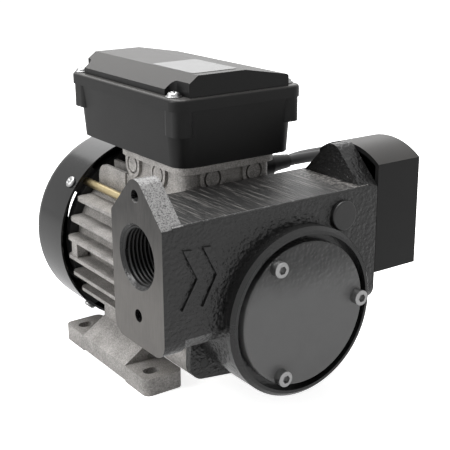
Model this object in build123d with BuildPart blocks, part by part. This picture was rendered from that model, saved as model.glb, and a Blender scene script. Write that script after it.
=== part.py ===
from build123d import *
import os
from math import cos, pi, radians, sin, sqrt, tan

os.makedirs("parts", exist_ok=True)

# A self-priming vane pump for diesel fuel, close-coupled to a single-phase motor.
# The origin is the middle of the four foot slots, on the surface the pump stands on.
# X runs from the inlet flange to the outlet flange, Y from the pump cover to the
# fan, and Z is up. All sizes are in millimetres.

# Motor feet, frame size 63
shaft_z = 63.0
foot_pitch_x = 100.0
foot_pitch_y = 80.0
slot_width = 7.0
slot_length = 10.0
foot_edge = 9.5
foot_end = 10.0
foot_rail_width = 24.8
foot_corner = 4.0
foot_thickness = 10.3
foot_web_y = 52.0
foot_web_lean = 15.5
foot_web_rise = 10.0
foot_web_top_drop = 24.0
foot_web_waist_drop = 34.0
foot_web_waist = 3.0
foot_relief = 1.2

# Core and winding, which set the length of the motor frame
core_length = 64.0
stator_depth = 19.9
air_gap = 0.4
end_ring_length = 5.0
end_ring_step = 2.5
winding_reach = 11.0
winding_end_gap = 5.0
winding_outer_gap = 3.0
winding_inner_gap = 3.6

# Motor frame
frame_radius = 48.5
frame_wall = 4.0
fin_height = 9.5
fin_pitch = 11.7
fin_thickness = 2.2
fin_corner = 5.0
fin_front_corner = 3.0
fin_inset = 1.5
fin_lug = 7.0
fin_lug_inset = 1.1
fin_lug_back = 6.2
upright_fin_pitch = 11.0
upright_fin_rise = 1.5
upright_fin_inset = 4.0
upright_fin_corner = 9.0

# Neck under the terminal box
neck_left = 33.0
neck_right = 26.0
neck_front_reach = 4.0
neck_length = 65.0
neck_height = 17.3
neck_seam = 0.8
neck_root_drop = 18.5
neck_plate_overhang = 3.0
neck_plate_thickness = 3.5
neck_wall = 4.0
neck_corner = 6.0
wire_hole_radius = 6.0
wire_hole_inset = 12.0
knockout_drop = 8.0
knockout_pad = 7.8
knockout_recess = 5.7
knockout_disc = 4.5
knockout_height = 1.8
knockout_pitch = 27.9
front_knockout_x = -15.7
left_knockout_place = 20.1

# Pump casting
inlet_face_x = -81.0
outlet_face_x = 56.4
flange_width = 49.0
flange_thickness = 12.0
flange_tip_radius = 8.5
flange_shoulder = 3.0
port_rise = 34.8
body_top_rise = 20.8
body_floor_drop = 47.8
body_bevel = 9.0
body_edge = 1.5
bolt_offset = 31.2
port_bore = 30.3
port_thread_depth = 20.0
port_chamfer = 1.9
flange_bolt_bore = 6.8
flange_bolt_depth = 10.5
passage_bore = 25.0
window_near_x = 12.0
window_far_x = 25.0
window_height_share = 0.8

# Vane chamber, its ring and its cover
eccentricity = 4.0
chamber_radius = 28.0
chamber_rear_wall = 14.0
ring_radius = 46.7
ring_height = 8.0
ring_rear_depth = 12.0
ring_recess_radius = 43.0
ring_recess_depth = 5.0
ring_bevel = 2.0
drum_step = 0.8
rear_drum_radius = 39.5
cover_play = 3.5
cover_thickness = 5.6
cover_edge = 1.2
seal_inset = 2.7
seal_width = 2.0
seal_depth = 1.6
cover_screw_circle = 35.3
cover_screw_angle = 3.0
cover_screw_shank = 4.2
cover_screw_play = 1.4
cover_screw_reach = 12.0
cover_screw_bottom = 2.0
cover_screw_head = 8.5
cover_screw_head_height = 5.0
cover_screw_edge = 0.5
cover_screw_socket = 2.3
cover_screw_socket_depth = 2.6
rotor_gap = 0.3
end_gap = 0.3
vane_count = 5
vane_thickness = 3.0
vane_length = 11.0
vane_slot_gap = 0.1
vane_slot_bottom = 1.0
vane_tip_gap = 0.2
shaft_seal_radius = 13.0
shaft_seal_length = 7.0

# By-pass valve in the front wall
bypass_x = 31.5
bypass_rise = 7.2
bypass_bore = 14.0
bypass_seat_bore = 10.0
bypass_seat_depth = 11.0
bypass_head = 16.6
bypass_head_height = 2.4
bypass_head_edge = 1.0
bypass_plug_depth = 5.5
bypass_plug_wall = 1.2
bypass_gallery = 6.0
gallery_end_x = -30.0
poppet_disc = 12.6
poppet_thickness = 2.0
poppet_seat_gap = 0.1
poppet_cone_gap = 0.5
poppet_cone_length = 2.0
spring_wire = 1.2
spring_radius = 4.4
spring_turns = 3

# Joint between pump and motor
rod_standoff = 4.7
rod_angle = 43.6
rod_diameter = 5.0
rod_gap = 0.15
rod_play = 0.4
rod_reach = 7.5
ear_radius = 9.0
ear_plate_depth = 4.5
ear_plate_gap = 15.0
ear_root_share = 0.75
ear_root_scale = 1.3
front_shield_thickness = 10.0
shield_step = 1.0
nut_height = 4.0
nut_radius = 4.5
rod_tail = 1.5

# Rotating parts
pump_journal = 12.0
front_bearing_bore = 15.0
front_bearing_outside = 35.0
front_bearing_width = 11.0
rear_bearing_bore = 12.0
rear_bearing_outside = 32.0
rear_bearing_width = 10.0
bearing_overlap = 3.0
rear_bearing_inset = 8.0
bearing_wall = 4.0
bearing_play = 0.05
shaft_hole_play = 0.6
journal_inset = 0.5
core_seat = 20.0
shaft_gap = 0.3

# Rear shield, fan and fan cover
rear_shield_thickness = 6.0
rear_shield_overhang = 5.5
rear_ear_depth = 9.0
rear_ear_step = 4.0
fan_gap = 2.5
fan_hub_length = 15.0
fan_hub_radius = 11.0
fan_rod_gap = 10.2
rear_blade_gap = 1.5
fan_blades = 9
fan_blade = 2.0
fan_depth = 15.0
cowl_overhang = 12.0
cowl_sheet = 1.4
cowl_length = 40.0
cowl_bend = 9.0
cowl_ear_gap = 0.1
grille_spokes = 6
grille_spoke = 5.0
grille_slots = 4
grille_slot = 3.6
grille_rib = 3.4
grille_first = 12.0
cowl_screw_turn = 6.0
cowl_screw_inset = 6.5
cowl_screw_shank = 3.8
cowl_screw_head = 7.6
cowl_screw_head_height = 2.2
cowl_screw_length = 6.0

# Terminal box
box_center_x = 1.8
box_place = 23.0
box_top_x = 81.6
box_top_y = 119.2
box_height = 31.7
box_draft = 4.2
box_wall = 2.5
box_corner = 12.0
box_rim_corner = 9.0
box_wire_hole = 12.0
post_width = 12.0
post_length = 16.0
post_height = 14.0
post_proud = 0.6
post_corner = 5.0
lid_overhang = 2.0
lid_rim = 6.7
lid_corner = 8.0
lid_edge = 1.8
lid_wall = 2.5
lid_left_step = 3.4
lid_right_step = 5.6
lid_crown = 11.6
gasket_thickness = 1.0
gasket_play = 0.3
crown_left = 37.0
crown_right = 34.5
crown_front_inset = 2.1
crown_rear_inset = 7.6
ridge_left = -25.7
ridge_right = 5.0
crown_shoulder = 1.0

# Fastening of the terminal box and its lid, and what lies in the box
neck_screw_inset = 2.0
neck_screw_y = 22.0
neck_screw_shank = 2.8
neck_screw_head = 5.2
neck_screw_head_height = 2.0
neck_screw_depth = 8.0
lid_screw_side_inset = 5.5
lid_screw_front_inset = 11.0
lid_screw_rear_inset = 7.5
lid_screw_shank = 3.6
lid_screw_head = 7.8
lid_screw_head_height = 2.6
lid_screw_crown = 1.4
lid_screw_length = 18.0
lid_screw_bottom = 2.0
pocket_half_width = 4.5
pocket_reach = 6.5
pocket_corner = 3.5
capacitor_radius = 11.5
capacitor_length = 62.0
capacitor_place_x = -17.0
capacitor_place_y = -24.0
terminal_length = 42.0
terminal_width = 18.0
terminal_foot = 9.0
terminal_top_width = 11.0
terminal_height = 14.0
terminal_pitch = 8.0
terminal_count = 5
terminal_hole = 4.8
terminal_hole_depth = 5.0
terminal_place_x = 15.0
terminal_place_y = 25.0

# Cable gland and its bend relief
gland_place = 10.5
gland_drop = 13.3
gland_hex = 7.0
gland_length = 6.0
gland_nut_radius = 6.6
gland_nut_length = 9.0
relief_length = 14.0
relief_wall = 0.9
relief_step = 1.2

# Cord, its put-away coil and the plug
cord_diameter = 6.5
coil_x = 94.0
coil_y = 104.0
coil_radius = 36.0
coil_turns_across = 3
coil_layers = 2
coil_entry_angle = -40.0
coil_exit_angle = 100.0
coil_lead = 26.0
coil_edge = 2.0
lead_slack = 0.15
plug_width = 32.0
plug_height = 19.5
plug_body = 36.0
plug_relief = 24.0
plug_corner = 5.0
plug_step = 3.0
pin_pitch = 9.5
pin_diameter = 4.0
pin_length = 19.0

# Outlet cover
outlet_cover_length = 31.6
outlet_cover_drop = 31.1
outlet_cover_rise = 30.9
outlet_cover_arch = 7.9
outlet_cover_wall = 2.5
outlet_cover_edge = 1.2
cover_seat_gap = 0.3
spigot_length = 10.0

# Places along the shaft, from the middle of the motor to both ends
frame_length = core_length + 2 * (winding_reach + winding_end_gap)
frame_front_y = -frame_length / 2
frame_rear_y = frame_length / 2
back_y = frame_front_y - front_shield_thickness
wall_y = back_y - flange_width
ring_front_y = wall_y - ring_height
port_y = wall_y + flange_width / 2
recess_floor_y = ring_front_y + ring_recess_depth
chamber_rear_y = back_y - chamber_rear_wall
chamber_depth = chamber_rear_y - recess_floor_y
cover_front_y = recess_floor_y - cover_thickness
bypass_seat_y = wall_y + bypass_seat_depth
ear_plate_y = back_y - ear_plate_gap
cowl_front_y = frame_rear_y
cowl_rear_y = cowl_front_y + cowl_length

# Radii round the shaft
frame_bore = frame_radius - frame_wall
fin_radius = frame_radius + fin_height
stator_bore = frame_bore - stator_depth
rotor_core_radius = stator_bore - air_gap
rod_circle = frame_radius + rod_standoff
rear_shield_radius = frame_radius + rear_shield_overhang
cowl_radius = frame_radius + cowl_overhang
fan_radius = rod_circle - fan_rod_gap
rotor_radius = chamber_radius - eccentricity - rotor_gap
drum_radius = ring_radius - drum_step
cover_radius = ring_recess_radius - cover_play
seal_radius = chamber_radius + seal_inset

# Heights of the pump casting
chamber_z = shaft_z - eccentricity
port_z = shaft_z + port_rise
body_top_z = port_z + body_top_rise
body_floor_z = port_z - body_floor_drop
bypass_z = port_z + bypass_rise

# Neck, terminal box and lid
neck_front_y = frame_front_y - neck_front_reach
neck_rear_y = neck_front_y + neck_length
neck_center_y = (neck_rear_y + neck_front_y) / 2
neck_width = neck_left + neck_right
neck_center_x = (neck_right - neck_left) / 2
neck_top_z = shaft_z + frame_radius + neck_height
knockout_z = neck_top_z - knockout_drop
box_center_y = neck_center_y + box_place
box_floor_z = neck_top_z
box_top_z = box_floor_z + box_height
box_bottom_x = box_top_x - 2 * box_height * tan(radians(box_draft))
box_bottom_y = box_top_y - 2 * box_height * tan(radians(box_draft))
lid_x = box_top_x + 2 * lid_overhang
lid_y = box_top_y + 2 * lid_overhang
lid_front_y = box_center_y - lid_y / 2
lid_rear_y = box_center_y + lid_y / 2
lid_seat_z = box_top_z + gasket_thickness
lid_rim_z = box_top_z + lid_rim
gland_y = neck_center_y - gland_place
gland_z = neck_top_z - gland_drop

# Screw and rod places
neck_screw_x = neck_width / 2 - neck_screw_inset
neck_screw_places = [
    (neck_center_x + sx * neck_screw_x, neck_center_y + sy * neck_screw_y) for sx in (-1, 1) for sy in (-1, 1)
]
lid_screw_x = lid_x / 2 - lid_screw_side_inset
lid_screw_front_y = lid_front_y + lid_screw_front_inset
lid_screw_rear_y = lid_rear_y - lid_screw_rear_inset
lid_screw_places = [
    (box_center_x + side * lid_screw_x, y) for side in (-1, 1) for y in (lid_screw_front_y, lid_screw_rear_y)
]
rod_x = rod_circle * cos(radians(rod_angle))
rod_z = rod_circle * sin(radians(rod_angle))
rod_angles = (rod_angle, 180 - rod_angle, 180 + rod_angle, 360 - rod_angle)
upper_rods = [(side * rod_x, shaft_z + rod_z) for side in (-1, 1)]
lower_rods = [(side * rod_x, shaft_z - rod_z) for side in (-1, 1)]
rod_places = upper_rods + lower_rods


def facing(y):
    """Plane across the shaft at y: its own x is X and its own y is Z."""
    return Plane.XZ.offset(-y)


def beside(x):
    """Plane across the flanges at x: its own x is Y and its own y is Z."""
    return Plane.YZ.offset(x)


def screw_circle(radius):
    """Discs at the three cover screws, for the sketch that is open."""
    with Locations((0, chamber_z)):
        with PolarLocations(cover_screw_circle, 3, cover_screw_angle):
            Circle(radius)


def ears(places, root_share=ear_root_share):
    """Discs round the rods, each with a wider root nearer the shaft."""
    for ear_x, ear_z in places:
        with Locations((ear_x, ear_z)):
            Circle(ear_radius)
        with Locations((ear_x * root_share, shaft_z + (ear_z - shaft_z) * root_share)):
            Circle(ear_radius * ear_root_scale)


def knockout(radius, lift=0.0):
    """Tombstone pad of a blind cable entry: a disc, widened up to the plate above it."""
    Circle(radius)
    if lift:
        with Locations((0, lift / 2)):
            Rectangle(2 * radius, lift)


def on_shaft(y, radius, length, center_z=shaft_z, mode=Mode.ADD):
    """Round bar or bore along the shaft direction, from y towards the fan."""
    with BuildSketch(facing(y)) as disc:
        with Locations((0, center_z)):
            Circle(radius)
    extrude(disc.sketch, amount=-length, mode=mode)


def bore_on_shaft(y, radius, length, center_z=shaft_z):
    on_shaft(y, radius, length, center_z, Mode.SUBTRACT)


def cowl_screw_holes(mode=Mode.SUBTRACT):
    """Radial shanks of the fan cover's screws, one beside each ear."""
    for angle in rod_angles:
        turn = radians(angle + cowl_screw_turn)
        outward = Vector(cos(turn), 0, sin(turn))
        seat = Vector(0, cowl_front_y + cowl_screw_inset, shaft_z) + outward * cowl_radius
        with BuildSketch(Plane(origin=seat, z_dir=outward)) as shank:
            Circle(cowl_screw_shank / 2)
        extrude(shank.sketch, amount=-cowl_screw_length, mode=mode)


def flange_outline():
    """Pointed top round the upper bolt, straight sides and a rounded foot."""
    half = flange_width / 2
    with Locations((port_y, port_z + bolt_offset)):
        Circle(flange_tip_radius)
    shoulder = half - flange_shoulder
    shoulder_z = body_top_z - flange_shoulder
    with Locations((port_y - shoulder, shoulder_z), (port_y + shoulder, shoulder_z)):
        Circle(flange_shoulder)
    foot = body_bevel
    with Locations((port_y - half + foot, body_floor_z + foot), (port_y + half - foot, body_floor_z + foot)):
        Circle(foot)
    make_hull()


# Pump body: one iron casting with both flanges, the wall between them, the ring
# for the cover and the ears that meet the motor.
with BuildPart() as pump_body:
    with BuildSketch(beside(inlet_face_x + flange_thickness / 2)):
        with BuildLine():
            Polyline(
                (wall_y, body_top_z),
                (back_y, body_top_z),
                (back_y, body_floor_z),
                (wall_y + body_bevel, body_floor_z),
                (wall_y, body_floor_z + body_bevel),
                close=True,
            )
        make_face()
    extrude(amount=outlet_face_x - inlet_face_x - flange_thickness)
    top_front_edge = pump_body.edges().filter_by(Axis.X).group_by(Axis.Z)[-1].sort_by(Axis.Y)[0]
    fillet(top_front_edge, body_edge)
    with BuildSketch(beside(inlet_face_x)):
        flange_outline()
    extrude(amount=flange_thickness)
    with BuildSketch(beside(outlet_face_x)):
        flange_outline()
    extrude(amount=-flange_thickness)
    # The chamber's drum: the ring, a shade less behind it, then the plate with the lower ears
    on_shaft(ring_front_y, ring_radius, ring_height + ring_rear_depth, chamber_z)
    ring_edge = pump_body.edges().filter_by(GeomType.CIRCLE).group_by(Axis.Y)[0]
    chamfer(ring_edge, ring_bevel)
    on_shaft(wall_y, drum_radius, ear_plate_y - wall_y, chamber_z)
    on_shaft(ear_plate_y, rear_drum_radius, back_y - ear_plate_y, chamber_z)
    with BuildSketch(facing(ear_plate_y)):
        with Locations(*lower_rods):
            Circle(ear_radius)
        with Locations((0, chamber_z)):
            Circle(drum_radius)
        make_hull()
    extrude(amount=ear_plate_depth)
    bore_on_shaft(ring_front_y, ring_recess_radius, ring_recess_depth, chamber_z)
    bore_on_shaft(recess_floor_y, chamber_radius, chamber_depth, chamber_z)
    bore_on_shaft(chamber_rear_y, pump_journal / 2 + shaft_gap, back_y - chamber_rear_y)
    bore_on_shaft(back_y - shaft_seal_length, shaft_seal_radius, shaft_seal_length)
    for face_x, inward in ((inlet_face_x, 1), (outlet_face_x, -1)):
        inner_x = inward * -window_near_x
        with BuildSketch(beside(face_x)):
            with Locations((port_y, port_z)):
                Circle(port_bore / 2)
        extrude(amount=inward * port_thread_depth, mode=Mode.SUBTRACT)
        with BuildSketch(beside(face_x)):
            with Locations((port_y, port_z)):
                Circle(passage_bore / 2)
        extrude(amount=inner_x - face_x, mode=Mode.SUBTRACT)
        with BuildSketch(beside(face_x)):
            with Locations((port_y, port_z - bolt_offset), (port_y, port_z + bolt_offset)):
                Circle(flange_bolt_bore / 2)
        extrude(amount=inward * flange_bolt_depth, mode=Mode.SUBTRACT)
        window_x = inward * -(window_near_x + window_far_x) / 2
        with Locations((window_x, port_y, chamber_z + (port_z - chamber_z) / 2)):
            Box(
                window_far_x - window_near_x,
                passage_bore * window_height_share,
                port_z - chamber_z,
                mode=Mode.SUBTRACT,
            )
        mouth = pump_body.edges().filter_by(GeomType.CIRCLE).filter_by_position(
            Axis.X, face_x - 0.1, face_x + 0.1
        ).filter_by(lambda edge: abs(edge.radius - port_bore / 2) < 0.01)
        chamfer(mouth, port_chamfer)
    for rod_back_y, places in ((back_y, upper_rods), (ear_plate_y, lower_rods)):
        with BuildSketch(facing(rod_back_y)):
            with Locations(*places):
                Circle(rod_diameter / 2 + rod_gap)
        extrude(amount=rod_reach + rod_gap, mode=Mode.SUBTRACT)
    with BuildSketch(facing(recess_floor_y)):
        screw_circle(cover_screw_shank / 2)
    extrude(amount=-(cover_screw_reach + cover_screw_bottom), mode=Mode.SUBTRACT)
    with BuildSketch(facing(wall_y)):
        with Locations((bypass_x, bypass_z)):
            Circle(bypass_bore / 2)
    extrude(amount=wall_y - bypass_seat_y, mode=Mode.SUBTRACT)
    with BuildSketch(facing(wall_y)):
        with Locations((bypass_x, bypass_z)):
            Circle(bypass_seat_bore / 2)
    extrude(amount=wall_y - port_y, mode=Mode.SUBTRACT)
    gallery_y = bypass_seat_y - bypass_gallery / 2
    with BuildSketch(beside(bypass_x)):
        with Locations((gallery_y, bypass_z)):
            Circle(bypass_gallery / 2)
    extrude(amount=gallery_end_x - bypass_x, mode=Mode.SUBTRACT)
    with BuildSketch(facing(gallery_y)):
        with Locations((gallery_end_x, bypass_z)):
            Circle(bypass_gallery / 2)
    extrude(amount=gallery_y - port_y, mode=Mode.SUBTRACT)
pump_body.part.label = "pump_body"
export_step(pump_body.part, "parts/pump_body.step")

# Front cover: a round plate that lies in the ring, with its o-ring groove behind.
with BuildPart() as front_cover:
    on_shaft(cover_front_y, cover_radius, cover_thickness, chamber_z)
    front_edge = front_cover.edges().filter_by(GeomType.CIRCLE).group_by(Axis.Y)[0]
    fillet(front_edge, cover_edge)
    with BuildSketch(facing(recess_floor_y)):
        with Locations((0, chamber_z)):
            Circle(seal_radius + seal_width / 2)
            Circle(seal_radius - seal_width / 2, mode=Mode.SUBTRACT)
    extrude(amount=seal_depth, mode=Mode.SUBTRACT)
    with BuildSketch(facing(cover_front_y)):
        screw_circle((cover_screw_shank + cover_screw_play) / 2)
    extrude(amount=-cover_thickness, mode=Mode.SUBTRACT)
front_cover.part.label = "front_cover"
export_step(front_cover.part, "parts/front_cover.step")

with BuildPart() as cover_o_ring:
    with BuildSketch(facing(recess_floor_y)):
        with Locations((0, chamber_z)):
            Circle(seal_radius + seal_width / 2)
            Circle(seal_radius - seal_width / 2, mode=Mode.SUBTRACT)
    extrude(amount=seal_depth)
cover_o_ring.part.label = "cover_o_ring"
export_step(cover_o_ring.part, "parts/cover_o_ring.step")

# Three socket screws hold the cover: head, hexagon socket and shank in one.
with BuildPart() as cover_screws:
    with BuildSketch(facing(cover_front_y)):
        screw_circle(cover_screw_head / 2)
    extrude(amount=cover_screw_head_height)
    head_rims = cover_screws.edges().filter_by(GeomType.CIRCLE).group_by(Axis.Y)[0]
    chamfer(head_rims, cover_screw_edge)
    with BuildSketch(facing(cover_front_y - cover_screw_head_height)):
        with Locations((0, chamber_z)):
            with PolarLocations(cover_screw_circle, 3, cover_screw_angle):
                RegularPolygon(cover_screw_socket, 6)
    extrude(amount=-cover_screw_socket_depth, mode=Mode.SUBTRACT)
    with BuildSketch(facing(cover_front_y)):
        screw_circle(cover_screw_shank / 2)
    extrude(amount=-(cover_thickness + cover_screw_reach))
cover_screws.part.label = "cover_screws"
export_step(cover_screws.part, "parts/cover_screws.step")

# Rotor with its vane slots, and the carbon vanes lying in them.
rotor_front_y = recess_floor_y + end_gap
rotor_length = chamber_depth - 2 * end_gap
vane_outer = rotor_radius - vane_tip_gap
with BuildPart() as pump_rotor:
    on_shaft(rotor_front_y, rotor_radius, rotor_length)
    bore_on_shaft(rotor_front_y, pump_journal / 2, rotor_length)
    with BuildSketch(facing(rotor_front_y)):
        with Locations((0, shaft_z)):
            with PolarLocations(rotor_radius - vane_length / 2, vane_count):
                Rectangle(vane_length + 2 * vane_slot_bottom, vane_thickness + 2 * vane_slot_gap)
    extrude(amount=-rotor_length, mode=Mode.SUBTRACT)
pump_rotor.part.label = "pump_rotor"
export_step(pump_rotor.part, "parts/pump_rotor.step")

with BuildPart() as vanes:
    with BuildSketch(facing(rotor_front_y)):
        with Locations((0, shaft_z)):
            with PolarLocations(vane_outer - vane_length / 2, vane_count):
                Rectangle(vane_length, vane_thickness)
    extrude(amount=-rotor_length)
vanes.part.label = "vanes"
export_step(vanes.part, "parts/vanes.step")

# Lip seal between the pump and the motor.
with BuildPart() as shaft_seal:
    on_shaft(back_y - shaft_seal_length, shaft_seal_radius, shaft_seal_length)
    bore_on_shaft(back_y - shaft_seal_length, pump_journal / 2 + shaft_gap, shaft_seal_length)
shaft_seal.part.label = "shaft_seal"
export_step(shaft_seal.part, "parts/shaft_seal.step")

# By-pass valve: the plug is the round boss on the front wall, the poppet opens
# towards it against the spring when the outlet is shut.
plug_inner_y = wall_y + bypass_plug_depth
spring_end_y = wall_y + bypass_plug_wall
poppet_front_y = bypass_seat_y - poppet_thickness - poppet_seat_gap
with BuildPart() as bypass_plug:
    with BuildSketch(facing(wall_y)):
        with Locations((bypass_x, bypass_z)):
            Circle(bypass_head / 2)
    extrude(amount=bypass_head_height)
    fillet(bypass_plug.edges().filter_by(GeomType.CIRCLE).group_by(Axis.Y)[0], bypass_head_edge)
    with BuildSketch(facing(wall_y)):
        with Locations((bypass_x, bypass_z)):
            Circle(bypass_bore / 2)
    extrude(amount=-bypass_plug_depth)
    with BuildSketch(facing(plug_inner_y)):
        with Locations((bypass_x, bypass_z)):
            Circle(bypass_bore / 2 - bypass_plug_wall)
    extrude(amount=plug_inner_y - spring_end_y, mode=Mode.SUBTRACT)
bypass_plug.part.label = "bypass_plug"
export_step(bypass_plug.part, "parts/bypass_plug.step")

with BuildPart() as bypass_poppet:
    with BuildSketch(facing(poppet_front_y)):
        with Locations((bypass_x, bypass_z)):
            Circle(poppet_disc / 2)
    extrude(amount=-poppet_thickness)
    with BuildSketch(facing(poppet_front_y + poppet_thickness)):
        with Locations((bypass_x, bypass_z)):
            Circle(bypass_seat_bore / 2 - poppet_cone_gap)
    extrude(amount=-poppet_cone_length, taper=30)
bypass_poppet.part.label = "bypass_poppet"
export_step(bypass_poppet.part, "parts/bypass_poppet.step")

spring_length = poppet_front_y - spring_end_y
spring_pitch = (spring_length - spring_wire) / spring_turns
spring_base = (bypass_x, spring_end_y + spring_wire / 2, bypass_z)
with BuildPart() as bypass_spring:
    with BuildLine():
        coil_line = Helix(
            spring_pitch, spring_pitch * spring_turns, spring_radius, center=spring_base, direction=(0, 1, 0)
        )
    with BuildSketch(Plane(origin=coil_line @ 0, z_dir=coil_line % 0)):
        Circle(spring_wire / 2)
    sweep(path=coil_line, is_frenet=True)
bypass_spring.part.label = "bypass_spring"
export_step(bypass_spring.part, "parts/bypass_spring.step")

# Motor frame: a finned aluminium tube with its feet and the neck for the terminal box.
with BuildPart() as motor_frame:
    on_shaft(frame_front_y, frame_radius, frame_length)
    fin_span = frame_length - 2 * fin_inset
    for step in (-2.5, -1.5, -0.5, 0.5, 1.5, 2.5):
        fin_z = step * fin_pitch
        tip = sqrt(fin_radius**2 - fin_z**2)
        with BuildSketch(Plane.XY.offset(shaft_z + fin_z - fin_thickness / 2)) as side_fin:
            Rectangle(2 * tip, fin_span)
            fillet(side_fin.vertices().group_by(Axis.Y)[-1], fin_corner)
            fillet(side_fin.vertices().group_by(Axis.Y)[0], fin_front_corner)
        extrude(amount=fin_thickness)
    # Thick lug that closes the two middle fins at the fan end
    lug_x = fin_radius - fin_lug_inset - fin_lug / 2
    lug_y = frame_rear_y - fin_inset - fin_lug_back - fin_lug / 2
    for side in (-1, 1):
        with Locations((side * lug_x, lug_y, shaft_z)):
            Box(fin_lug, fin_lug, fin_pitch)
    # Upright fins behind the neck
    upright_start = neck_rear_y - neck_wall / 2
    upright_end = frame_rear_y - upright_fin_inset
    upright_reach = frame_radius + upright_fin_rise
    for step in (-3, -2, -1, 0, 1, 2, 3):
        with BuildSketch(beside(step * upright_fin_pitch - fin_thickness / 2)) as top_fin:
            with Locations(((upright_start + upright_end) / 2, shaft_z + upright_reach / 2)):
                Rectangle(upright_end - upright_start, upright_reach)
            rear_corner = top_fin.vertices().group_by(Axis.Z)[-1].sort_by(Axis.Y)[-1]
            fillet(rear_corner, upright_fin_corner)
        extrude(amount=fin_thickness)
    # Fins under the tube
    for step in (-1.5, -0.5, 0.5, 1.5):
        fin_x = step * fin_pitch
        reach = sqrt(fin_radius**2 - fin_x**2)
        with Locations((fin_x, 0, shaft_z - reach / 2)):
            Box(fin_thickness, fin_span, reach)
    # Neck walls, its top plate and the block that carries it on the tube
    neck_low_z = shaft_z + frame_radius + neck_seam
    neck_root_z = neck_low_z - neck_seam - neck_root_drop
    neck_block_length = neck_rear_y - frame_front_y
    with BuildSketch(Plane.XY.offset(neck_low_z)):
        with Locations((neck_center_x, neck_center_y)):
            RectangleRounded(neck_width, neck_length, neck_corner)
    extrude(amount=neck_top_z - neck_low_z)
    with BuildSketch(Plane.XY.offset(neck_root_z)):
        with Locations((neck_center_x, frame_front_y + neck_block_length / 2)):
            Rectangle(neck_width, neck_block_length)
    extrude(amount=neck_low_z - neck_root_z)
    with BuildSketch(Plane.XY.offset(neck_top_z - neck_plate_thickness)):
        with Locations((neck_center_x, neck_center_y)):
            RectangleRounded(
                neck_width + 2 * neck_plate_overhang,
                neck_length + 2 * neck_plate_overhang,
                neck_corner + neck_plate_overhang,
            )
    extrude(amount=neck_plate_thickness)
    # Blind cable entries in pairs: a pad, a ring-shaped recess and a disc left in it
    front_entries = [(front_knockout_x + step * knockout_pitch, knockout_z) for step in (0, 1)]
    left_entry_y = neck_center_y + left_knockout_place
    left_entries = [(left_entry_y - step * knockout_pitch, knockout_z) for step in (0, 1)]
    entries = [(facing(neck_front_y), front_entries, 1), (beside(-neck_left), left_entries, -1)]
    for wall, places, outward in entries:
        with BuildSketch(wall):
            with Locations(*places):
                knockout(knockout_pad, knockout_drop)
        extrude(amount=outward * knockout_height)
        with BuildSketch(wall.offset(outward * knockout_height)):
            with Locations(*places):
                knockout(knockout_recess)
                Circle(knockout_disc, mode=Mode.SUBTRACT)
        extrude(amount=-outward * knockout_height, mode=Mode.SUBTRACT)
    # Foot rails with their pads, webs and slots
    for side in (-1, 1):
        rail_x = side * (foot_pitch_x / 2 + foot_edge - foot_rail_width / 2)
        with BuildSketch(Plane.XY) as rail:
            with Locations((rail_x, 0)):
                RectangleRounded(foot_rail_width, foot_pitch_y + 2 * foot_end, foot_corner)
        extrude(amount=foot_thickness)
        outer_x = foot_pitch_x / 2 + foot_edge
        web_x = outer_x - foot_web_lean
        leg_x = outer_x - foot_rail_width
        with BuildSketch(facing(-foot_web_y / 2)):
            with BuildLine():
                Polyline(
                    (side * outer_x, foot_relief + 1),
                    (side * outer_x, foot_thickness),
                    (side * web_x, foot_thickness + foot_web_rise),
                    (side * (web_x - 1), shaft_z - foot_web_top_drop),
                    (side * (leg_x - foot_web_waist), shaft_z - foot_web_waist_drop),
                    (side * leg_x, foot_relief + 1),
                    close=True,
                )
            make_face()
        extrude(amount=-foot_web_y)
        with Locations((rail_x, 0, 0)):
            Box(foot_rail_width + 1, foot_web_y, 2 * foot_relief, mode=Mode.SUBTRACT)
        with BuildSketch(Plane.XY):
            with Locations(*[(side * foot_pitch_x / 2, sy * foot_pitch_y / 2) for sy in (-1, 1)]):
                SlotOverall(slot_length, slot_width)
        extrude(amount=foot_thickness, mode=Mode.SUBTRACT)
    # Bore for the stator core, wire way up into the box and clearance for the rods
    bore_on_shaft(frame_front_y, frame_bore, frame_length)
    with BuildSketch(Plane.XY.offset(neck_top_z)):
        with Locations((neck_center_x, neck_center_y)):
            RectangleRounded(neck_width - 2 * neck_wall, neck_length - 2 * neck_wall, neck_corner / 2)
    extrude(amount=neck_low_z + 2 - neck_top_z, mode=Mode.SUBTRACT)
    with BuildSketch(Plane.XY.offset(neck_top_z)):
        with Locations((0, frame_front_y + wire_hole_inset)):
            Circle(wire_hole_radius)
    extrude(amount=-(neck_height + 2 * frame_wall), mode=Mode.SUBTRACT)
    with BuildSketch(facing(frame_front_y)):
        with Locations(*rod_places):
            Circle(rod_diameter / 2 + rod_play)
    extrude(amount=-frame_length, mode=Mode.SUBTRACT)
    with BuildSketch(Plane.XY.offset(neck_top_z)):
        with Locations(*neck_screw_places):
            Circle(neck_screw_shank / 2)
    extrude(amount=-neck_screw_depth, mode=Mode.SUBTRACT)
motor_frame.part.label = "motor_frame"
export_step(motor_frame.part, "parts/motor_frame.step")

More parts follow.
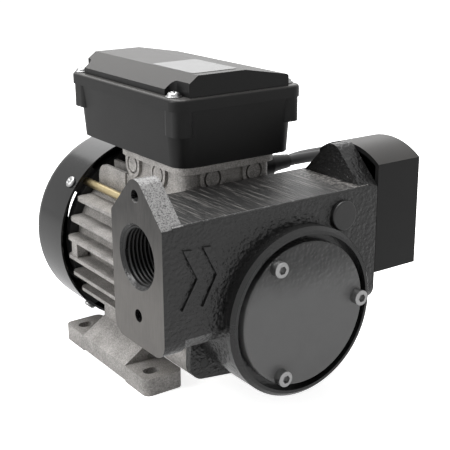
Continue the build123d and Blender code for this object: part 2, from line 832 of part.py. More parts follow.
# Front shield: closes the frame, carries the front bearing and meets the pump. Its
# two lower lugs reach forward under the casting to the pump's ear plate.
front_pocket_y = frame_front_y + bearing_overlap - front_bearing_width
with BuildPart() as front_shield:
    on_shaft(back_y, frame_radius - shield_step, front_shield_thickness)
    with BuildSketch(facing(back_y)):
        ears(rod_places)
    extrude(amount=-front_shield_thickness)
    with BuildSketch(facing(ear_plate_y)):
        with Locations(*lower_rods):
            Circle(ear_radius)
    extrude(amount=ear_plate_y - back_y)
    on_shaft(back_y, front_bearing_outside / 2 + bearing_wall, front_shield_thickness + bearing_overlap)
    bore_on_shaft(front_pocket_y, front_bearing_outside / 2, front_bearing_width)
    bore_on_shaft(back_y, front_bearing_bore / 2 + shaft_hole_play, front_shield_thickness)
    with BuildSketch(facing(ear_plate_y)):
        with Locations(*rod_places):
            Circle(rod_diameter / 2 + rod_gap)
    extrude(amount=-(front_shield_thickness + ear_plate_gap), mode=Mode.SUBTRACT)
front_shield.part.label = "front_shield"
export_step(front_shield.part, "parts/front_shield.step")

with BuildPart() as front_bearing:
    on_shaft(front_pocket_y, front_bearing_outside / 2, front_bearing_width)
    bore_on_shaft(front_pocket_y, front_bearing_bore / 2 + bearing_play, front_bearing_width)
front_bearing.part.label = "front_bearing"
export_step(front_bearing.part, "parts/front_bearing.step")

# Rear shield: carries the rear bearing; its four ears take the rods and the fan cover.
rear_pocket_y = frame_rear_y - rear_bearing_inset
with BuildPart() as rear_shield:
    on_shaft(frame_rear_y, rear_shield_radius, rear_shield_thickness)
    with BuildSketch(facing(frame_rear_y + rear_ear_step)):
        ears(rod_places)
        with Locations((0, shaft_z)):
            Circle(cowl_radius - cowl_sheet - cowl_ear_gap, mode=Mode.INTERSECT)
            Circle(fan_radius + rear_blade_gap, mode=Mode.SUBTRACT)
    extrude(amount=-rear_ear_depth)
    on_shaft(rear_pocket_y, rear_bearing_outside / 2 + bearing_wall, frame_rear_y - rear_pocket_y)
    bore_on_shaft(rear_pocket_y, rear_bearing_outside / 2, rear_bearing_width)
    bore_on_shaft(rear_pocket_y, rear_bearing_bore / 2 + shaft_hole_play, frame_rear_y - rear_pocket_y + rear_ear_depth)
    with BuildSketch(facing(frame_rear_y)):
        with Locations(*rod_places):
            Circle(rod_diameter / 2 + rod_gap)
    extrude(amount=-(rear_ear_step + rear_ear_depth), mode=Mode.SUBTRACT)
    cowl_screw_holes()
rear_shield.part.label = "rear_shield"
export_step(rear_shield.part, "parts/rear_shield.step")

with BuildPart() as rear_bearing:
    on_shaft(rear_pocket_y, rear_bearing_outside / 2, rear_bearing_width)
    bore_on_shaft(rear_pocket_y, rear_bearing_bore / 2 + bearing_play, rear_bearing_width)
rear_bearing.part.label = "rear_bearing"
export_step(rear_bearing.part, "parts/rear_bearing.step")

# Motor shaft, turned in steps: pump journal, front bearing, core, rear bearing, fan.
fan_front_y = frame_rear_y + rear_shield_thickness + fan_gap
journal_end_y = back_y + journal_inset
core_start_y = front_pocket_y + front_bearing_width
with BuildPart() as motor_shaft:
    on_shaft(rotor_front_y + journal_inset, pump_journal / 2, journal_end_y - rotor_front_y - journal_inset)
    on_shaft(journal_end_y, front_bearing_bore / 2, core_start_y - journal_end_y)
    on_shaft(core_start_y, core_seat / 2, rear_pocket_y - core_start_y)
    on_shaft(rear_pocket_y, rear_bearing_bore / 2, fan_front_y + fan_hub_length - rear_pocket_y)
motor_shaft.part.label = "motor_shaft"
export_step(motor_shaft.part, "parts/motor_shaft.step")

with BuildPart() as rotor_core:
    on_shaft(-core_length / 2, rotor_core_radius, core_length)
    ring_start_y = -core_length / 2 - end_ring_length
    ring_span = core_length + 2 * end_ring_length
    on_shaft(ring_start_y, rotor_core_radius - end_ring_step, ring_span)
    bore_on_shaft(ring_start_y, core_seat / 2, ring_span)
rotor_core.part.label = "rotor_core"
export_step(rotor_core.part, "parts/rotor_core.step")

with BuildPart() as stator_core:
    on_shaft(-core_length / 2, frame_bore, core_length)
    bore_on_shaft(-core_length / 2, stator_bore, core_length)
stator_core.part.label = "stator_core"
export_step(stator_core.part, "parts/stator_core.step")

# End turns of the winding, one bundle at each end of the core.
with BuildPart() as stator_winding:
    for start_y in (-core_length / 2 - winding_reach, core_length / 2):
        on_shaft(start_y, frame_bore - winding_outer_gap, winding_reach)
        bore_on_shaft(start_y, stator_bore + winding_inner_gap, winding_reach)
stator_winding.part.label = "stator_winding"
export_step(stator_winding.part, "parts/stator_winding.step")

# Tie rods through both shields into the pump casting, with nuts at the fan end.
rod_end_y = frame_rear_y + rear_ear_step + rear_ear_depth
rod_tail_y = rod_end_y + nut_height + rod_tail
with BuildPart() as tie_rods:
    for start_y, places in ((back_y - rod_reach, upper_rods), (ear_plate_y - ear_plate_depth, lower_rods)):
        with BuildSketch(facing(start_y)):
            with Locations(*places):
                Circle(rod_diameter / 2)
        extrude(amount=start_y - rod_tail_y)
tie_rods.part.label = "tie_rods"
export_step(tie_rods.part, "parts/tie_rods.step")

with BuildPart() as rod_nuts:
    with BuildSketch(facing(rod_end_y)):
        with Locations(*rod_places):
            RegularPolygon(nut_radius, 6)
            Circle(rod_diameter / 2, mode=Mode.SUBTRACT)
    extrude(amount=-nut_height)
rod_nuts.part.label = "rod_nuts"
export_step(rod_nuts.part, "parts/rod_nuts.step")

# Fan: a moulded hub and disc with straight radial blades.
with BuildPart() as fan:
    on_shaft(fan_front_y, fan_hub_radius, fan_hub_length)
    on_shaft(fan_front_y, fan_radius, fan_blade)
    with BuildSketch(facing(fan_front_y)):
        with Locations((0, shaft_z)):
            with PolarLocations((fan_radius + fan_hub_radius - fan_blade / 2) / 2, fan_blades):
                Rectangle(fan_radius - fan_hub_radius + fan_blade / 2, fan_blade)
    extrude(amount=-fan_depth)
    bore_on_shaft(fan_front_y, rear_bearing_bore / 2, fan_hub_length)
fan.part.label = "fan"
export_step(fan.part, "parts/fan.step")

# Fan cover: a pressed steel cap with a rounded shoulder and a slotted back.
with BuildPart() as fan_cover:
    outer_z = shaft_z + cowl_radius
    inner_z = outer_z - cowl_sheet
    with BuildSketch(Plane.YZ):
        with BuildLine():
            Line((cowl_front_y, inner_z), (cowl_front_y, outer_z))
            Line((cowl_front_y, outer_z), (cowl_rear_y - cowl_bend, outer_z))
            RadiusArc((cowl_rear_y - cowl_bend, outer_z), (cowl_rear_y, outer_z - cowl_bend), cowl_bend)
            Line((cowl_rear_y, outer_z - cowl_bend), (cowl_rear_y, shaft_z))
            Line((cowl_rear_y, shaft_z), (cowl_rear_y - cowl_sheet, shaft_z))
            Line((cowl_rear_y - cowl_sheet, shaft_z), (cowl_rear_y - cowl_sheet, outer_z - cowl_bend))
            RadiusArc(
                (cowl_rear_y - cowl_sheet, outer_z - cowl_bend),
                (cowl_rear_y - cowl_bend, inner_z),
                -(cowl_bend - cowl_sheet),
            )
            Line((cowl_rear_y - cowl_bend, inner_z), (cowl_front_y, inner_z))
        make_face()
    revolve(axis=Axis((0, 0, shaft_z), (0, 1, 0)))
    with BuildSketch(facing(cowl_rear_y)):
        for ring in range(grille_slots):
            slot_inner = grille_first + ring * (grille_slot + grille_rib)
            with Locations((0, shaft_z)):
                Circle(slot_inner + grille_slot)
                Circle(slot_inner, mode=Mode.SUBTRACT)
        with Locations((0, shaft_z)):
            with PolarLocations(0, grille_spokes // 2, 0, 180):
                Rectangle(2 * cowl_radius, grille_spoke, mode=Mode.SUBTRACT)
    extrude(amount=cowl_sheet, mode=Mode.SUBTRACT)
    cowl_screw_holes()
fan_cover.part.label = "fan_cover"
export_step(fan_cover.part, "parts/fan_cover.step")

# Screws round the front rim of the fan cover, set radially into the rear shield.
with BuildPart() as fan_cover_screws:
    cowl_screw_holes(Mode.ADD)
    for angle in rod_angles:
        turn = radians(angle + cowl_screw_turn)
        outward = Vector(cos(turn), 0, sin(turn))
        seat = Vector(0, cowl_front_y + cowl_screw_inset, shaft_z) + outward * cowl_radius
        with BuildSketch(Plane(origin=seat, z_dir=outward)):
            Circle(cowl_screw_head / 2)
        extrude(amount=cowl_screw_head_height)
fan_cover_screws.part.label = "fan_cover_screws"
export_step(fan_cover_screws.part, "parts/fan_cover_screws.step")

# Terminal box: a drafted moulded tray on the neck, open upwards. The corner posts
# for the lid's screws stand a little proud of its walls and end half way down.
cavity_bottom_x = box_bottom_x + 2 * box_wall * (tan(radians(box_draft)) - 1)
cavity_bottom_y = box_bottom_y + 2 * box_wall * (tan(radians(box_draft)) - 1)
post_x = box_top_x / 2 + post_proud - post_width / 2
post_y = box_top_y / 2 + post_proud - post_length / 2
with BuildPart() as terminal_box:
    with BuildSketch(Plane.XY.offset(box_floor_z)):
        with Locations((box_center_x, box_center_y)):
            RectangleRounded(box_bottom_x, box_bottom_y, box_corner - 2)
    extrude(amount=box_height, taper=-box_draft)
    with BuildSketch(Plane.XY.offset(box_floor_z + box_wall)):
        with Locations((box_center_x, box_center_y)):
            RectangleRounded(cavity_bottom_x, cavity_bottom_y, box_corner - 2 - box_wall)
    extrude(amount=box_height - box_wall, taper=-box_draft, mode=Mode.SUBTRACT)
    with BuildSketch(Plane.XY.offset(box_top_z - post_height)):
        with Locations((box_center_x, box_center_y)):
            with GridLocations(2 * post_x, 2 * post_y, 2, 2):
                RectangleRounded(post_width, post_length, post_corner)
    extrude(amount=post_height)
    with BuildSketch(Plane.XY.offset(box_top_z)):
        with Locations(*lid_screw_places):
            Circle(lid_screw_shank / 2)
    extrude(amount=-(lid_screw_length + lid_screw_bottom - lid_rim), mode=Mode.SUBTRACT)
    with BuildSketch(Plane.XY.offset(box_floor_z)):
        with Locations((neck_center_x, neck_center_y)):
            Circle(box_wire_hole)
        with Locations(*neck_screw_places):
            Circle(neck_screw_shank / 2)
    extrude(amount=box_wall, mode=Mode.SUBTRACT)
terminal_box.part.label = "terminal_box"
export_step(terminal_box.part, "parts/terminal_box.step")

with BuildPart() as box_screws:
    with BuildSketch(Plane.XY.offset(box_floor_z + box_wall)):
        with Locations(*neck_screw_places):
            Circle(neck_screw_head / 2)
    extrude(amount=neck_screw_head_height)
    with BuildSketch(Plane.XY.offset(box_floor_z + box_wall)):
        with Locations(*neck_screw_places):
            Circle(neck_screw_shank / 2)
    extrude(amount=-(box_wall + neck_screw_depth))
box_screws.part.label = "box_screws"
export_step(box_screws.part, "parts/box_screws.step")

# Gasket that lies on the box's rim, and the lid over it with its raised crown.
with BuildPart() as lid_gasket:
    with BuildSketch(Plane.XY.offset(box_top_z)):
        with Locations((box_center_x, box_center_y)):
            RectangleRounded(box_top_x, box_top_y, box_rim_corner)
            RectangleRounded(
                box_top_x - 2 * box_wall, box_top_y - 2 * box_wall, box_rim_corner - box_wall, mode=Mode.SUBTRACT
            )
            with GridLocations(2 * (post_x - post_proud), 2 * (post_y - post_proud), 2, 2):
                RectangleRounded(post_width, post_length, post_corner)
        with Locations(*lid_screw_places):
            Circle(lid_screw_shank / 2 + gasket_play, mode=Mode.SUBTRACT)
    extrude(amount=gasket_thickness)
lid_gasket.part.label = "lid_gasket"
export_step(lid_gasket.part, "parts/lid_gasket.step")

crown_front_y = lid_front_y + crown_front_inset
crown_rear_y = lid_rear_y - crown_rear_inset


def crown_profile(inset, front_y):
    """Section of the lid's crown: a short wall, a slope, a flat top and a long slope."""
    low_z = lid_rim_z - lid_edge
    left_z = lid_rim_z + lid_left_step - inset
    right_z = lid_rim_z + lid_right_step - inset
    top_z = lid_rim_z + lid_crown - inset
    with BuildSketch(facing(front_y)) as section:
        with BuildLine():
            Polyline(
                (-crown_left + inset, low_z),
                (-crown_left + inset, left_z),
                (ridge_left + inset / 3, top_z),
                (ridge_right - inset / 6, top_z),
                (crown_right - crown_shoulder - inset / 2, right_z + crown_shoulder),
                (crown_right - inset, right_z),
                (crown_right - inset, low_z),
                close=True,
            )
        make_face()
    return section.sketch


with BuildPart() as terminal_lid:
    with BuildSketch(Plane.XY.offset(box_top_z)):
        with Locations((box_center_x, box_center_y)):
            RectangleRounded(lid_x, lid_y, lid_corner)
    extrude(amount=lid_rim)
    fillet(terminal_lid.edges().group_by(Axis.Z)[-1], lid_edge)
    extrude(crown_profile(0, crown_front_y), amount=crown_front_y - crown_rear_y)
    pocket_front_end = lid_screw_front_y + pocket_reach
    pocket_rear_start = lid_screw_rear_y - pocket_reach
    pocket_x = box_center_x - lid_screw_x - pocket_reach + pocket_half_width
    pockets = ((lid_front_y, pocket_front_end), (pocket_rear_start, lid_rear_y))
    with BuildSketch(Plane.XY.offset(lid_rim_z)):
        for start_y, end_y in pockets:
            with Locations((pocket_x, (start_y + end_y) / 2)):
                RectangleRounded(2 * pocket_reach, end_y - start_y, pocket_corner)
    extrude(amount=lid_crown, mode=Mode.SUBTRACT)
    hollow_front_y = pocket_front_end + lid_wall
    hollow_length = pocket_rear_start - lid_wall - hollow_front_y
    extrude(crown_profile(lid_wall, hollow_front_y), amount=-hollow_length, mode=Mode.SUBTRACT)
    with BuildSketch(Plane.XY.offset(box_top_z)):
        with Locations((box_center_x, box_center_y)):
            RectangleRounded(box_top_x + 2 * gasket_play, box_top_y + 2 * gasket_play, box_rim_corner)
            with GridLocations(2 * post_x, 2 * post_y, 2, 2):
                RectangleRounded(post_width, post_length, post_corner)
    extrude(amount=gasket_thickness, mode=Mode.SUBTRACT)
    with BuildSketch(Plane.XY.offset(lid_seat_z)):
        with Locations(((crown_right - crown_left) / 2, hollow_front_y + hollow_length / 2)):
            Rectangle(crown_left + crown_right - 2 * lid_wall, hollow_length)
    extrude(amount=lid_rim - gasket_thickness, mode=Mode.SUBTRACT)
    with BuildSketch(Plane.XY.offset(lid_rim_z)):
        with Locations(*lid_screw_places):
            Circle(lid_screw_shank / 2)
    extrude(amount=-lid_rim, mode=Mode.SUBTRACT)
terminal_lid.part.label = "terminal_lid"
export_step(terminal_lid.part, "parts/terminal_lid.step")

with BuildPart() as lid_screws:
    with BuildSketch(Plane.XY.offset(lid_rim_z)):
        with Locations(*lid_screw_places):
            Circle(lid_screw_head / 2)
    extrude(amount=lid_screw_head_height)
    fillet(lid_screws.edges().filter_by(GeomType.CIRCLE).group_by(Axis.Z)[-1], lid_screw_crown)
    with BuildSketch(Plane.XY.offset(lid_rim_z)):
        with Locations(*lid_screw_places):
            Circle(lid_screw_shank / 2)
    extrude(amount=-lid_screw_length)
lid_screws.part.label = "lid_screws"
export_step(lid_screws.part, "parts/lid_screws.step")

# Inside the box: the run capacitor in its strap seat and the terminal block.
with BuildPart() as capacitor:
    with BuildSketch(facing(box_center_y + capacitor_place_y)):
        with Locations((box_center_x + capacitor_place_x, box_floor_z + box_wall + capacitor_radius)):
            Circle(capacitor_radius)
    extrude(amount=-capacitor_length)
capacitor.part.label = "capacitor"
export_step(capacitor.part, "parts/capacitor.step")

terminal_x = box_center_x + terminal_place_x
terminal_y = box_center_y + terminal_place_y
with BuildPart() as terminal_block:
    with BuildSketch(facing(terminal_y - terminal_length / 2)):
        with Locations((terminal_x, box_floor_z + box_wall)):
            Rectangle(terminal_width, terminal_foot, align=(Align.CENTER, Align.MIN))
            Rectangle(terminal_top_width, terminal_height, align=(Align.CENTER, Align.MIN))
    extrude(amount=-terminal_length)
    with BuildSketch(Plane.XY.offset(box_floor_z + box_wall + terminal_height)):
        with Locations((terminal_x, terminal_y)):
            with GridLocations(0, terminal_pitch, 1, terminal_count):
                Circle(terminal_hole / 2)
    extrude(amount=-terminal_hole_depth, mode=Mode.SUBTRACT)
terminal_block.part.label = "terminal_block"
export_step(terminal_block.part, "parts/terminal_block.step")

# Cable gland on the right side of the neck, with its nut and bend relief.
with BuildPart() as cable_gland:
    with BuildSketch(beside(neck_right)):
        with Locations((gland_y, gland_z)):
            RegularPolygon(gland_hex, 6)
    extrude(amount=gland_length)
cable_gland.part.label = "cable_gland"
export_step(cable_gland.part, "parts/cable_gland.step")

gland_face_x = neck_right + gland_length
with BuildPart() as gland_nut:
    with BuildSketch(beside(gland_face_x)):
        with Locations((gland_y, gland_z)):
            Circle(gland_nut_radius)
    extrude(amount=gland_nut_length)
    with BuildSketch(beside(gland_face_x + gland_nut_length)):
        with Locations((gland_y, gland_z)):
            Circle(gland_nut_radius - relief_step)
    with BuildSketch(beside(gland_face_x + gland_nut_length + relief_length)):
        with Locations((gland_y, gland_z)):
            Circle(cord_diameter / 2 + relief_wall)
    loft()
gland_nut.part.label = "gland_nut"
export_step(gland_nut.part, "parts/gland_nut.step")

# Outlet cover: a hollow moulded cap with an arched top. It stands on the outlet
# flange and a spigot inside it fits the port, so it pulls off along X.
cover_left_x = outlet_face_x + cover_seat_gap
cover_right_x = cover_left_x + outlet_cover_length


def arch(inset):
    """Straight sides and a shallow arched top, drawn across the flange."""
    half = flange_width / 2 - inset
    floor = port_z - outlet_cover_drop + inset
    spring = port_z + outlet_cover_rise - inset / 2
    top = port_z + outlet_cover_rise + outlet_cover_arch - inset
    with BuildSketch(beside(cover_left_x)) as profile:
        with BuildLine():
            Polyline(
                (port_y - half, spring),
                (port_y - half, floor),
                (port_y + half, floor),
                (port_y + half, spring),
            )
            ThreePointArc((port_y + half, spring), (port_y, top), (port_y - half, spring))
        make_face()
    return profile.sketch


with BuildPart() as outlet_cover:
    extrude(arch(0), amount=outlet_cover_length)
    fillet(outlet_cover.faces().sort_by(Axis.X)[-1].edges(), outlet_cover_edge)
    extrude(arch(outlet_cover_wall), amount=outlet_cover_length - outlet_cover_wall, mode=Mode.SUBTRACT)
    spigot_radius = port_bore / 2 - cover_seat_gap
    with BuildSketch(beside(cover_right_x - outlet_cover_wall)):
        with Locations((port_y, port_z)):
            Circle(spigot_radius)
            Circle(spigot_radius - outlet_cover_wall, mode=Mode.SUBTRACT)
    extrude(amount=-(cover_right_x - outlet_cover_wall - outlet_face_x + spigot_length))
outlet_cover.part.label = "outlet_cover"
export_step(outlet_cover.part, "parts/outlet_cover.step")

# Power cord: straight runs and tangent arcs from the bend relief down to the coil.
relief_end_x = gland_face_x + gland_nut_length + relief_length
cord_radius = cord_diameter / 2
coil_outer_turn = coil_radius + cord_diameter * (coil_turns_across - 1) / 2
coil_half_width = cord_diameter * coil_turns_across / 2
coil_center = Vector(coil_x, coil_y, 0)


def on_coil(angle, height):
    """Point on the outer turn and the direction in which the turns run there."""
    turn = radians(angle)
    point = coil_center + Vector(cos(turn), sin(turn), 0) * coil_outer_turn + Vector(0, 0, height)
    return point, Vector(-sin(turn), cos(turn), 0)


entry_point, entry_way = on_coil(coil_entry_angle, cord_radius)
cord_end = entry_point - entry_way * coil_lead
cord_points = [
    Vector(relief_end_x, gland_y, gland_z),
    Vector(76, gland_y, gland_z),
    Vector(101, -26, 113.5),
    Vector(122, -10, 109),
    Vector(126, 15, 103),
    Vector(109, 34.5, 97),
    Vector(86, 35, 88),
    Vector(71, 24, 71.5),
    Vector(68.5, 14.5, 50),
    Vector(74, 16, 29),
    Vector(85.6, 27.9, 12.6),
    cord_end - entry_way * 20,
    cord_end,
]
bend_radii = []
for before, corner, after in zip(cord_points, cord_points[1:], cord_points[2:]):
    turn = (corner - before).get_angle(after - corner)
    shorter = min((corner - before).length, (after - corner).length)
    bend_radii.append(0.45 * shorter / tan(radians(turn / 2)))
print("cord bend radii", [round(radius, 1) for radius in bend_radii])
with BuildPart() as power_cord:
    with BuildLine() as cord_path:
        FilletPolyline(*cord_points, radius=bend_radii)
    with BuildSketch(Plane(origin=cord_path.line @ 0, z_dir=cord_path.line % 0)):
        Circle(cord_radius)
    sweep()
power_cord.part.label = "power_cord"
export_step(power_cord.part, "parts/power_cord.step")
cord_section = pi * cord_radius**2
cord_length = sum(edge.length for edge in cord_path.line.edges())
print("cord length", round(cord_length, 1))
print("volume against section times length", power_cord.part.volume / (cord_section * cord_length))

# The rest of the cord in a neat coil, with a straight lead at each end of it.
coil_height = coil_layers * cord_diameter
exit_point, exit_way = on_coil(coil_exit_angle, coil_height - cord_radius)
with BuildPart() as cord_coil:
    with BuildSketch(Plane.XZ.offset(-coil_y)) as coil_section:
        with Locations((coil_x + coil_radius, coil_height / 2)):
            RectangleRounded(2 * coil_half_width, coil_height, coil_edge)
    revolve(axis=Axis((coil_x, coil_y, 0), (0, 0, 1)))
    with BuildSketch(Plane(origin=cord_end, z_dir=entry_way)):
        Circle(cord_radius - lead_slack)
    extrude(amount=coil_lead)
    with BuildSketch(Plane(origin=exit_point, z_dir=exit_way)):
        Circle(cord_radius - lead_slack)
    extrude(amount=coil_lead)
cord_coil.part.label = "cord_coil"
export_step(cord_coil.part, "parts/cord_coil.step")

# Plug: tapered bend relief, flat grip and three round pins in line.
plug_start = exit_point + exit_way * coil_lead
grip_start = plug_start + exit_way * plug_relief
pin_start = grip_start + exit_way * plug_body
with BuildPart() as plug:
    with BuildSketch(Plane(origin=plug_start, x_dir=(0, 0, 1), z_dir=exit_way)):
        Circle(cord_radius + relief_wall)
    with BuildSketch(Plane(origin=grip_start, x_dir=(0, 0, 1), z_dir=exit_way)):
        Circle(plug_height / 2 - plug_step)
    loft()
    with BuildSketch(Plane(origin=grip_start, x_dir=(0, 0, 1), z_dir=exit_way)):
        RectangleRounded(plug_height, plug_width, plug_corner)
    extrude(amount=plug_body)
    with BuildSketch(Plane(origin=pin_start, x_dir=(0, 0, 1), z_dir=exit_way)):
        with GridLocations(0, pin_pitch, 1, 3):
            Circle(pin_diameter / 2)
    extrude(amount=pin_length)
plug.part.label = "plug"
export_step(plug.part, "parts/plug.step")
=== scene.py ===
# %% [markdown]
# # A diesel transfer pump
#
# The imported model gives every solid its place. This scene adds what a solid cannot
# show: the finish of cast iron, cast aluminium, sheet steel and plastic, the marks
# on the casting, the thread in the port, the screw drives and the power cord.
# All lengths are in metres, with `mm` for sizes that read better in millimetres.

from math import cos, pi, radians, sin, sqrt

import bmesh
import bpy
from mathutils import Matrix, Vector


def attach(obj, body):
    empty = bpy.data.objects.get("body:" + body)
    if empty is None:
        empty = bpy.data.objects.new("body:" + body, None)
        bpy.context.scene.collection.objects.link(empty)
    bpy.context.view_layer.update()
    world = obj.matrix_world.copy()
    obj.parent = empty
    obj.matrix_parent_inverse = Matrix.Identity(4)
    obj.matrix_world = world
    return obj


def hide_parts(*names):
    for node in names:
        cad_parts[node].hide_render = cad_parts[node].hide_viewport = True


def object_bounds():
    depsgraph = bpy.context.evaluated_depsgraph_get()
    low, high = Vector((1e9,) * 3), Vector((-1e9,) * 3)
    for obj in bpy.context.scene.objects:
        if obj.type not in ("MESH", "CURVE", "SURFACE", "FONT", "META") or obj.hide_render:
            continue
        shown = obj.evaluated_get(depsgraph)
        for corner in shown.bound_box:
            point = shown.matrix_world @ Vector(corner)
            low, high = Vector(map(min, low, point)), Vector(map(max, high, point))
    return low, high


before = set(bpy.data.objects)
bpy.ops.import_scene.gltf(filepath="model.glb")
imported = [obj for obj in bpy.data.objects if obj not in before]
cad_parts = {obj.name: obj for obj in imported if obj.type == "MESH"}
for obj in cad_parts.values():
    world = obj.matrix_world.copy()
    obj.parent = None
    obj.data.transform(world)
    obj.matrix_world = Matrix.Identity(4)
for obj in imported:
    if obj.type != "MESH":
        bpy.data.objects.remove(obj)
cad_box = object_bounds()
mm = 0.001
cad_size = [round((high - low) / mm, 1) for low, high in zip(*cad_box)]
print("the solids fill a box of", cad_size, "mm")


def node(name):
    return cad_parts[name]


# %% [markdown]
# ## Camera
#
# The camera stands about 0.63 m from the pump, to the left of its front and a little
# above it. A camera can be aimed at a target, but its turn would then follow the aim.
# Here its three directions are given, so that the edges run as in the picture. The
# view is a short telephoto one, and a small shift keeps the pump in its place.

# %% Camera
camera_data = bpy.data.cameras.new("camera")
camera_data.sensor_width = 36.0
camera_data.lens = 78.77
camera_data.shift_x = 0.0057
camera_data.shift_y = -0.0326
camera_data.clip_start = 0.02
camera = bpy.data.objects.new("camera", camera_data)
bpy.context.scene.collection.objects.link(camera)
camera_right = Vector((0.82057905, -0.57149389, -0.00668933))
camera_up = Vector((0.17392867, 0.23855208, 0.95542751))
camera_back = camera_right.cross(camera_up)
camera_turn = Matrix((camera_right, camera_up, camera_back)).transposed().to_4x4()
camera_place = Vector((-0.306445, -0.482158, 0.262835))
camera.matrix_world = Matrix.Translation(camera_place) @ camera_turn
bpy.context.scene.camera = camera
bpy.context.scene.view_settings.view_transform = "Standard"
print("the camera stands", round(camera_place.length, 2), "m from the middle of the feet")

# %% [markdown]
# ## Power cord
#
# The cord leaves the bend relief on the neck's right side, makes one loop beside the
# motor and goes down to the floor behind it. The rest of it is put away there in a
# coil of two layers, with the plug beside it. First come the sizes of the cord and of
# its coil, and a helper that gives a place on a turn from its angle.

# %% Sizes of the cord and its coil
cord_diameter = 6.5 * mm
cord_exit = (0.055, -0.030, 0.1155)
coil_center = Vector((0.094, 0.104, 0))
coil_radius = 36 * mm
turns_across = 3
coil_layers = 2
entry_angle = -40.0
exit_angle = 100.0
coil_lead = 26 * mm
points_per_turn = 16
outer_turn = coil_radius + cord_diameter * (turns_across - 1) / 2


def turn_point(angle, radius, height):
    turn = radians(angle)
    return coil_center + Vector((radius * cos(turn), radius * sin(turn), height))


print("the outer turn of the coil has a radius of", round(outer_turn / mm, 1), "mm")

# %% [markdown]
# ### The strand from the gland to the coil
#
# The strand hangs in wide bows, as a stiff rubber cord does. Its places are listed one
# by one, because a strand's fall follows no formula, and they are spaced so that no
# bend is tighter than four diameters. The last two lie on the line on which the first
# turn begins, so that the strand runs into the coil without a kink.

# %% Strand from the gland to the coil
entry_way = Vector((-sin(radians(entry_angle)), cos(radians(entry_angle)), 0))
cord_down = turn_point(entry_angle, outer_turn, cord_diameter / 2) - entry_way * coil_lead
cord_route = [
    Vector(cord_exit),
    Vector((0.076, -0.030, 0.1155)),
    Vector((0.101, -0.026, 0.1135)),
    Vector((0.122, -0.010, 0.109)),
    Vector((0.126, 0.015, 0.103)),
    Vector((0.109, 0.0345, 0.097)),
    Vector((0.086, 0.035, 0.088)),
    Vector((0.071, 0.024, 0.0715)),
    Vector((0.0685, 0.0145, 0.050)),
    Vector((0.074, 0.016, 0.029)),
    Vector((0.0856, 0.0279, 0.0126)),
    cord_down - entry_way * 0.020,
    cord_down,
]

print("the strand has", len(cord_route), "points")

# %% [markdown]
# ### The turns of the coil
#
# The turns go inwards on the floor and outwards again on top of them. A plain spiral
# would change its radius all the time. In a coil wound by hand each turn keeps its
# radius and steps to the next in the last part of the round, and so it is here.
# The curve passes a little inside its points, which `spline_gain` makes up for.

# %% Turns of the coil
step_start = 0.8
total_turns = turns_across * coil_layers - 1 + (exit_angle - entry_angle) / 360
spline_gain = 1 / cos(pi / points_per_turn)
for step in range(int(total_turns * points_per_turn) + 1):
    travelled = step / points_per_turn
    whole = int(travelled)
    part = max(0.0, (travelled - whole - step_start) / (1 - step_start))
    place = whole + part
    layer_turn = min(place, turns_across - 1)
    radius = outer_turn - layer_turn * cord_diameter
    height = cord_diameter / 2
    if place > turns_across - 1:
        height += cord_diameter * min(1.0, place - (turns_across - 1))
        radius = outer_turn - cord_diameter * (turns_across - 1)
        radius += cord_diameter * max(0.0, place - turns_across)
    cord_route.append(turn_point(entry_angle + travelled * 360, radius * spline_gain, height))
cord_leave = turn_point(exit_angle, outer_turn, cord_diameter * (coil_layers - 0.5))
exit_way = Vector((-sin(radians(exit_angle)), cos(radians(exit_angle)), 0))
cord_route.append(cord_leave + exit_way * coil_lead * 0.5)
cord_route.append(cord_leave + exit_way * coil_lead)
print("the coil has", round(total_turns, 2), "turns")

# %% [markdown]
# ### The cord's curve
#
# One curve with a round bevel goes through all the points. A tube of faces would need
# its rings turned by hand at each bend, which the curve does by itself. The bevel is
# one metre deep and each point's radius scales it down, so that the radius of a point
# is the cord's own.

# %% Cord curve
cord_curve = bpy.data.curves.new("power_cord_line", "CURVE")
cord_curve.dimensions = "3D"
cord_curve.bevel_depth = 1.0
cord_curve.bevel_resolution = 6
cord_curve.resolution_u = 4
cord_curve.use_fill_caps = True
cord_spline = cord_curve.splines.new("NURBS")
cord_spline.points.add(len(cord_route) - 1)
for point, place in zip(cord_spline.points, cord_route):
    point.co = (*place, 1.0)
    point.radius = cord_diameter / 2
cord_spline.order_u = 3
cord_spline.use_endpoint_u = True
power_cord = bpy.data.objects.new("power_cord_run", cord_curve)
bpy.context.scene.collection.objects.link(power_cord)
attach(power_cord, "housing")
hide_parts("power_cord", "cord_coil")
print("the cord's curve has", len(cord_spline.points), "points")

# %% [markdown]
# ## Values in a material
#
# A material is a tree of nodes, and one that is drawn by hand soon fills the screen.
# `Value` wraps a socket of the tree, so that shader maths reads as Python: `a * 0.5`
# adds a Math node, `ramp` turns a value into a soft step, and `mix` blends two colours.

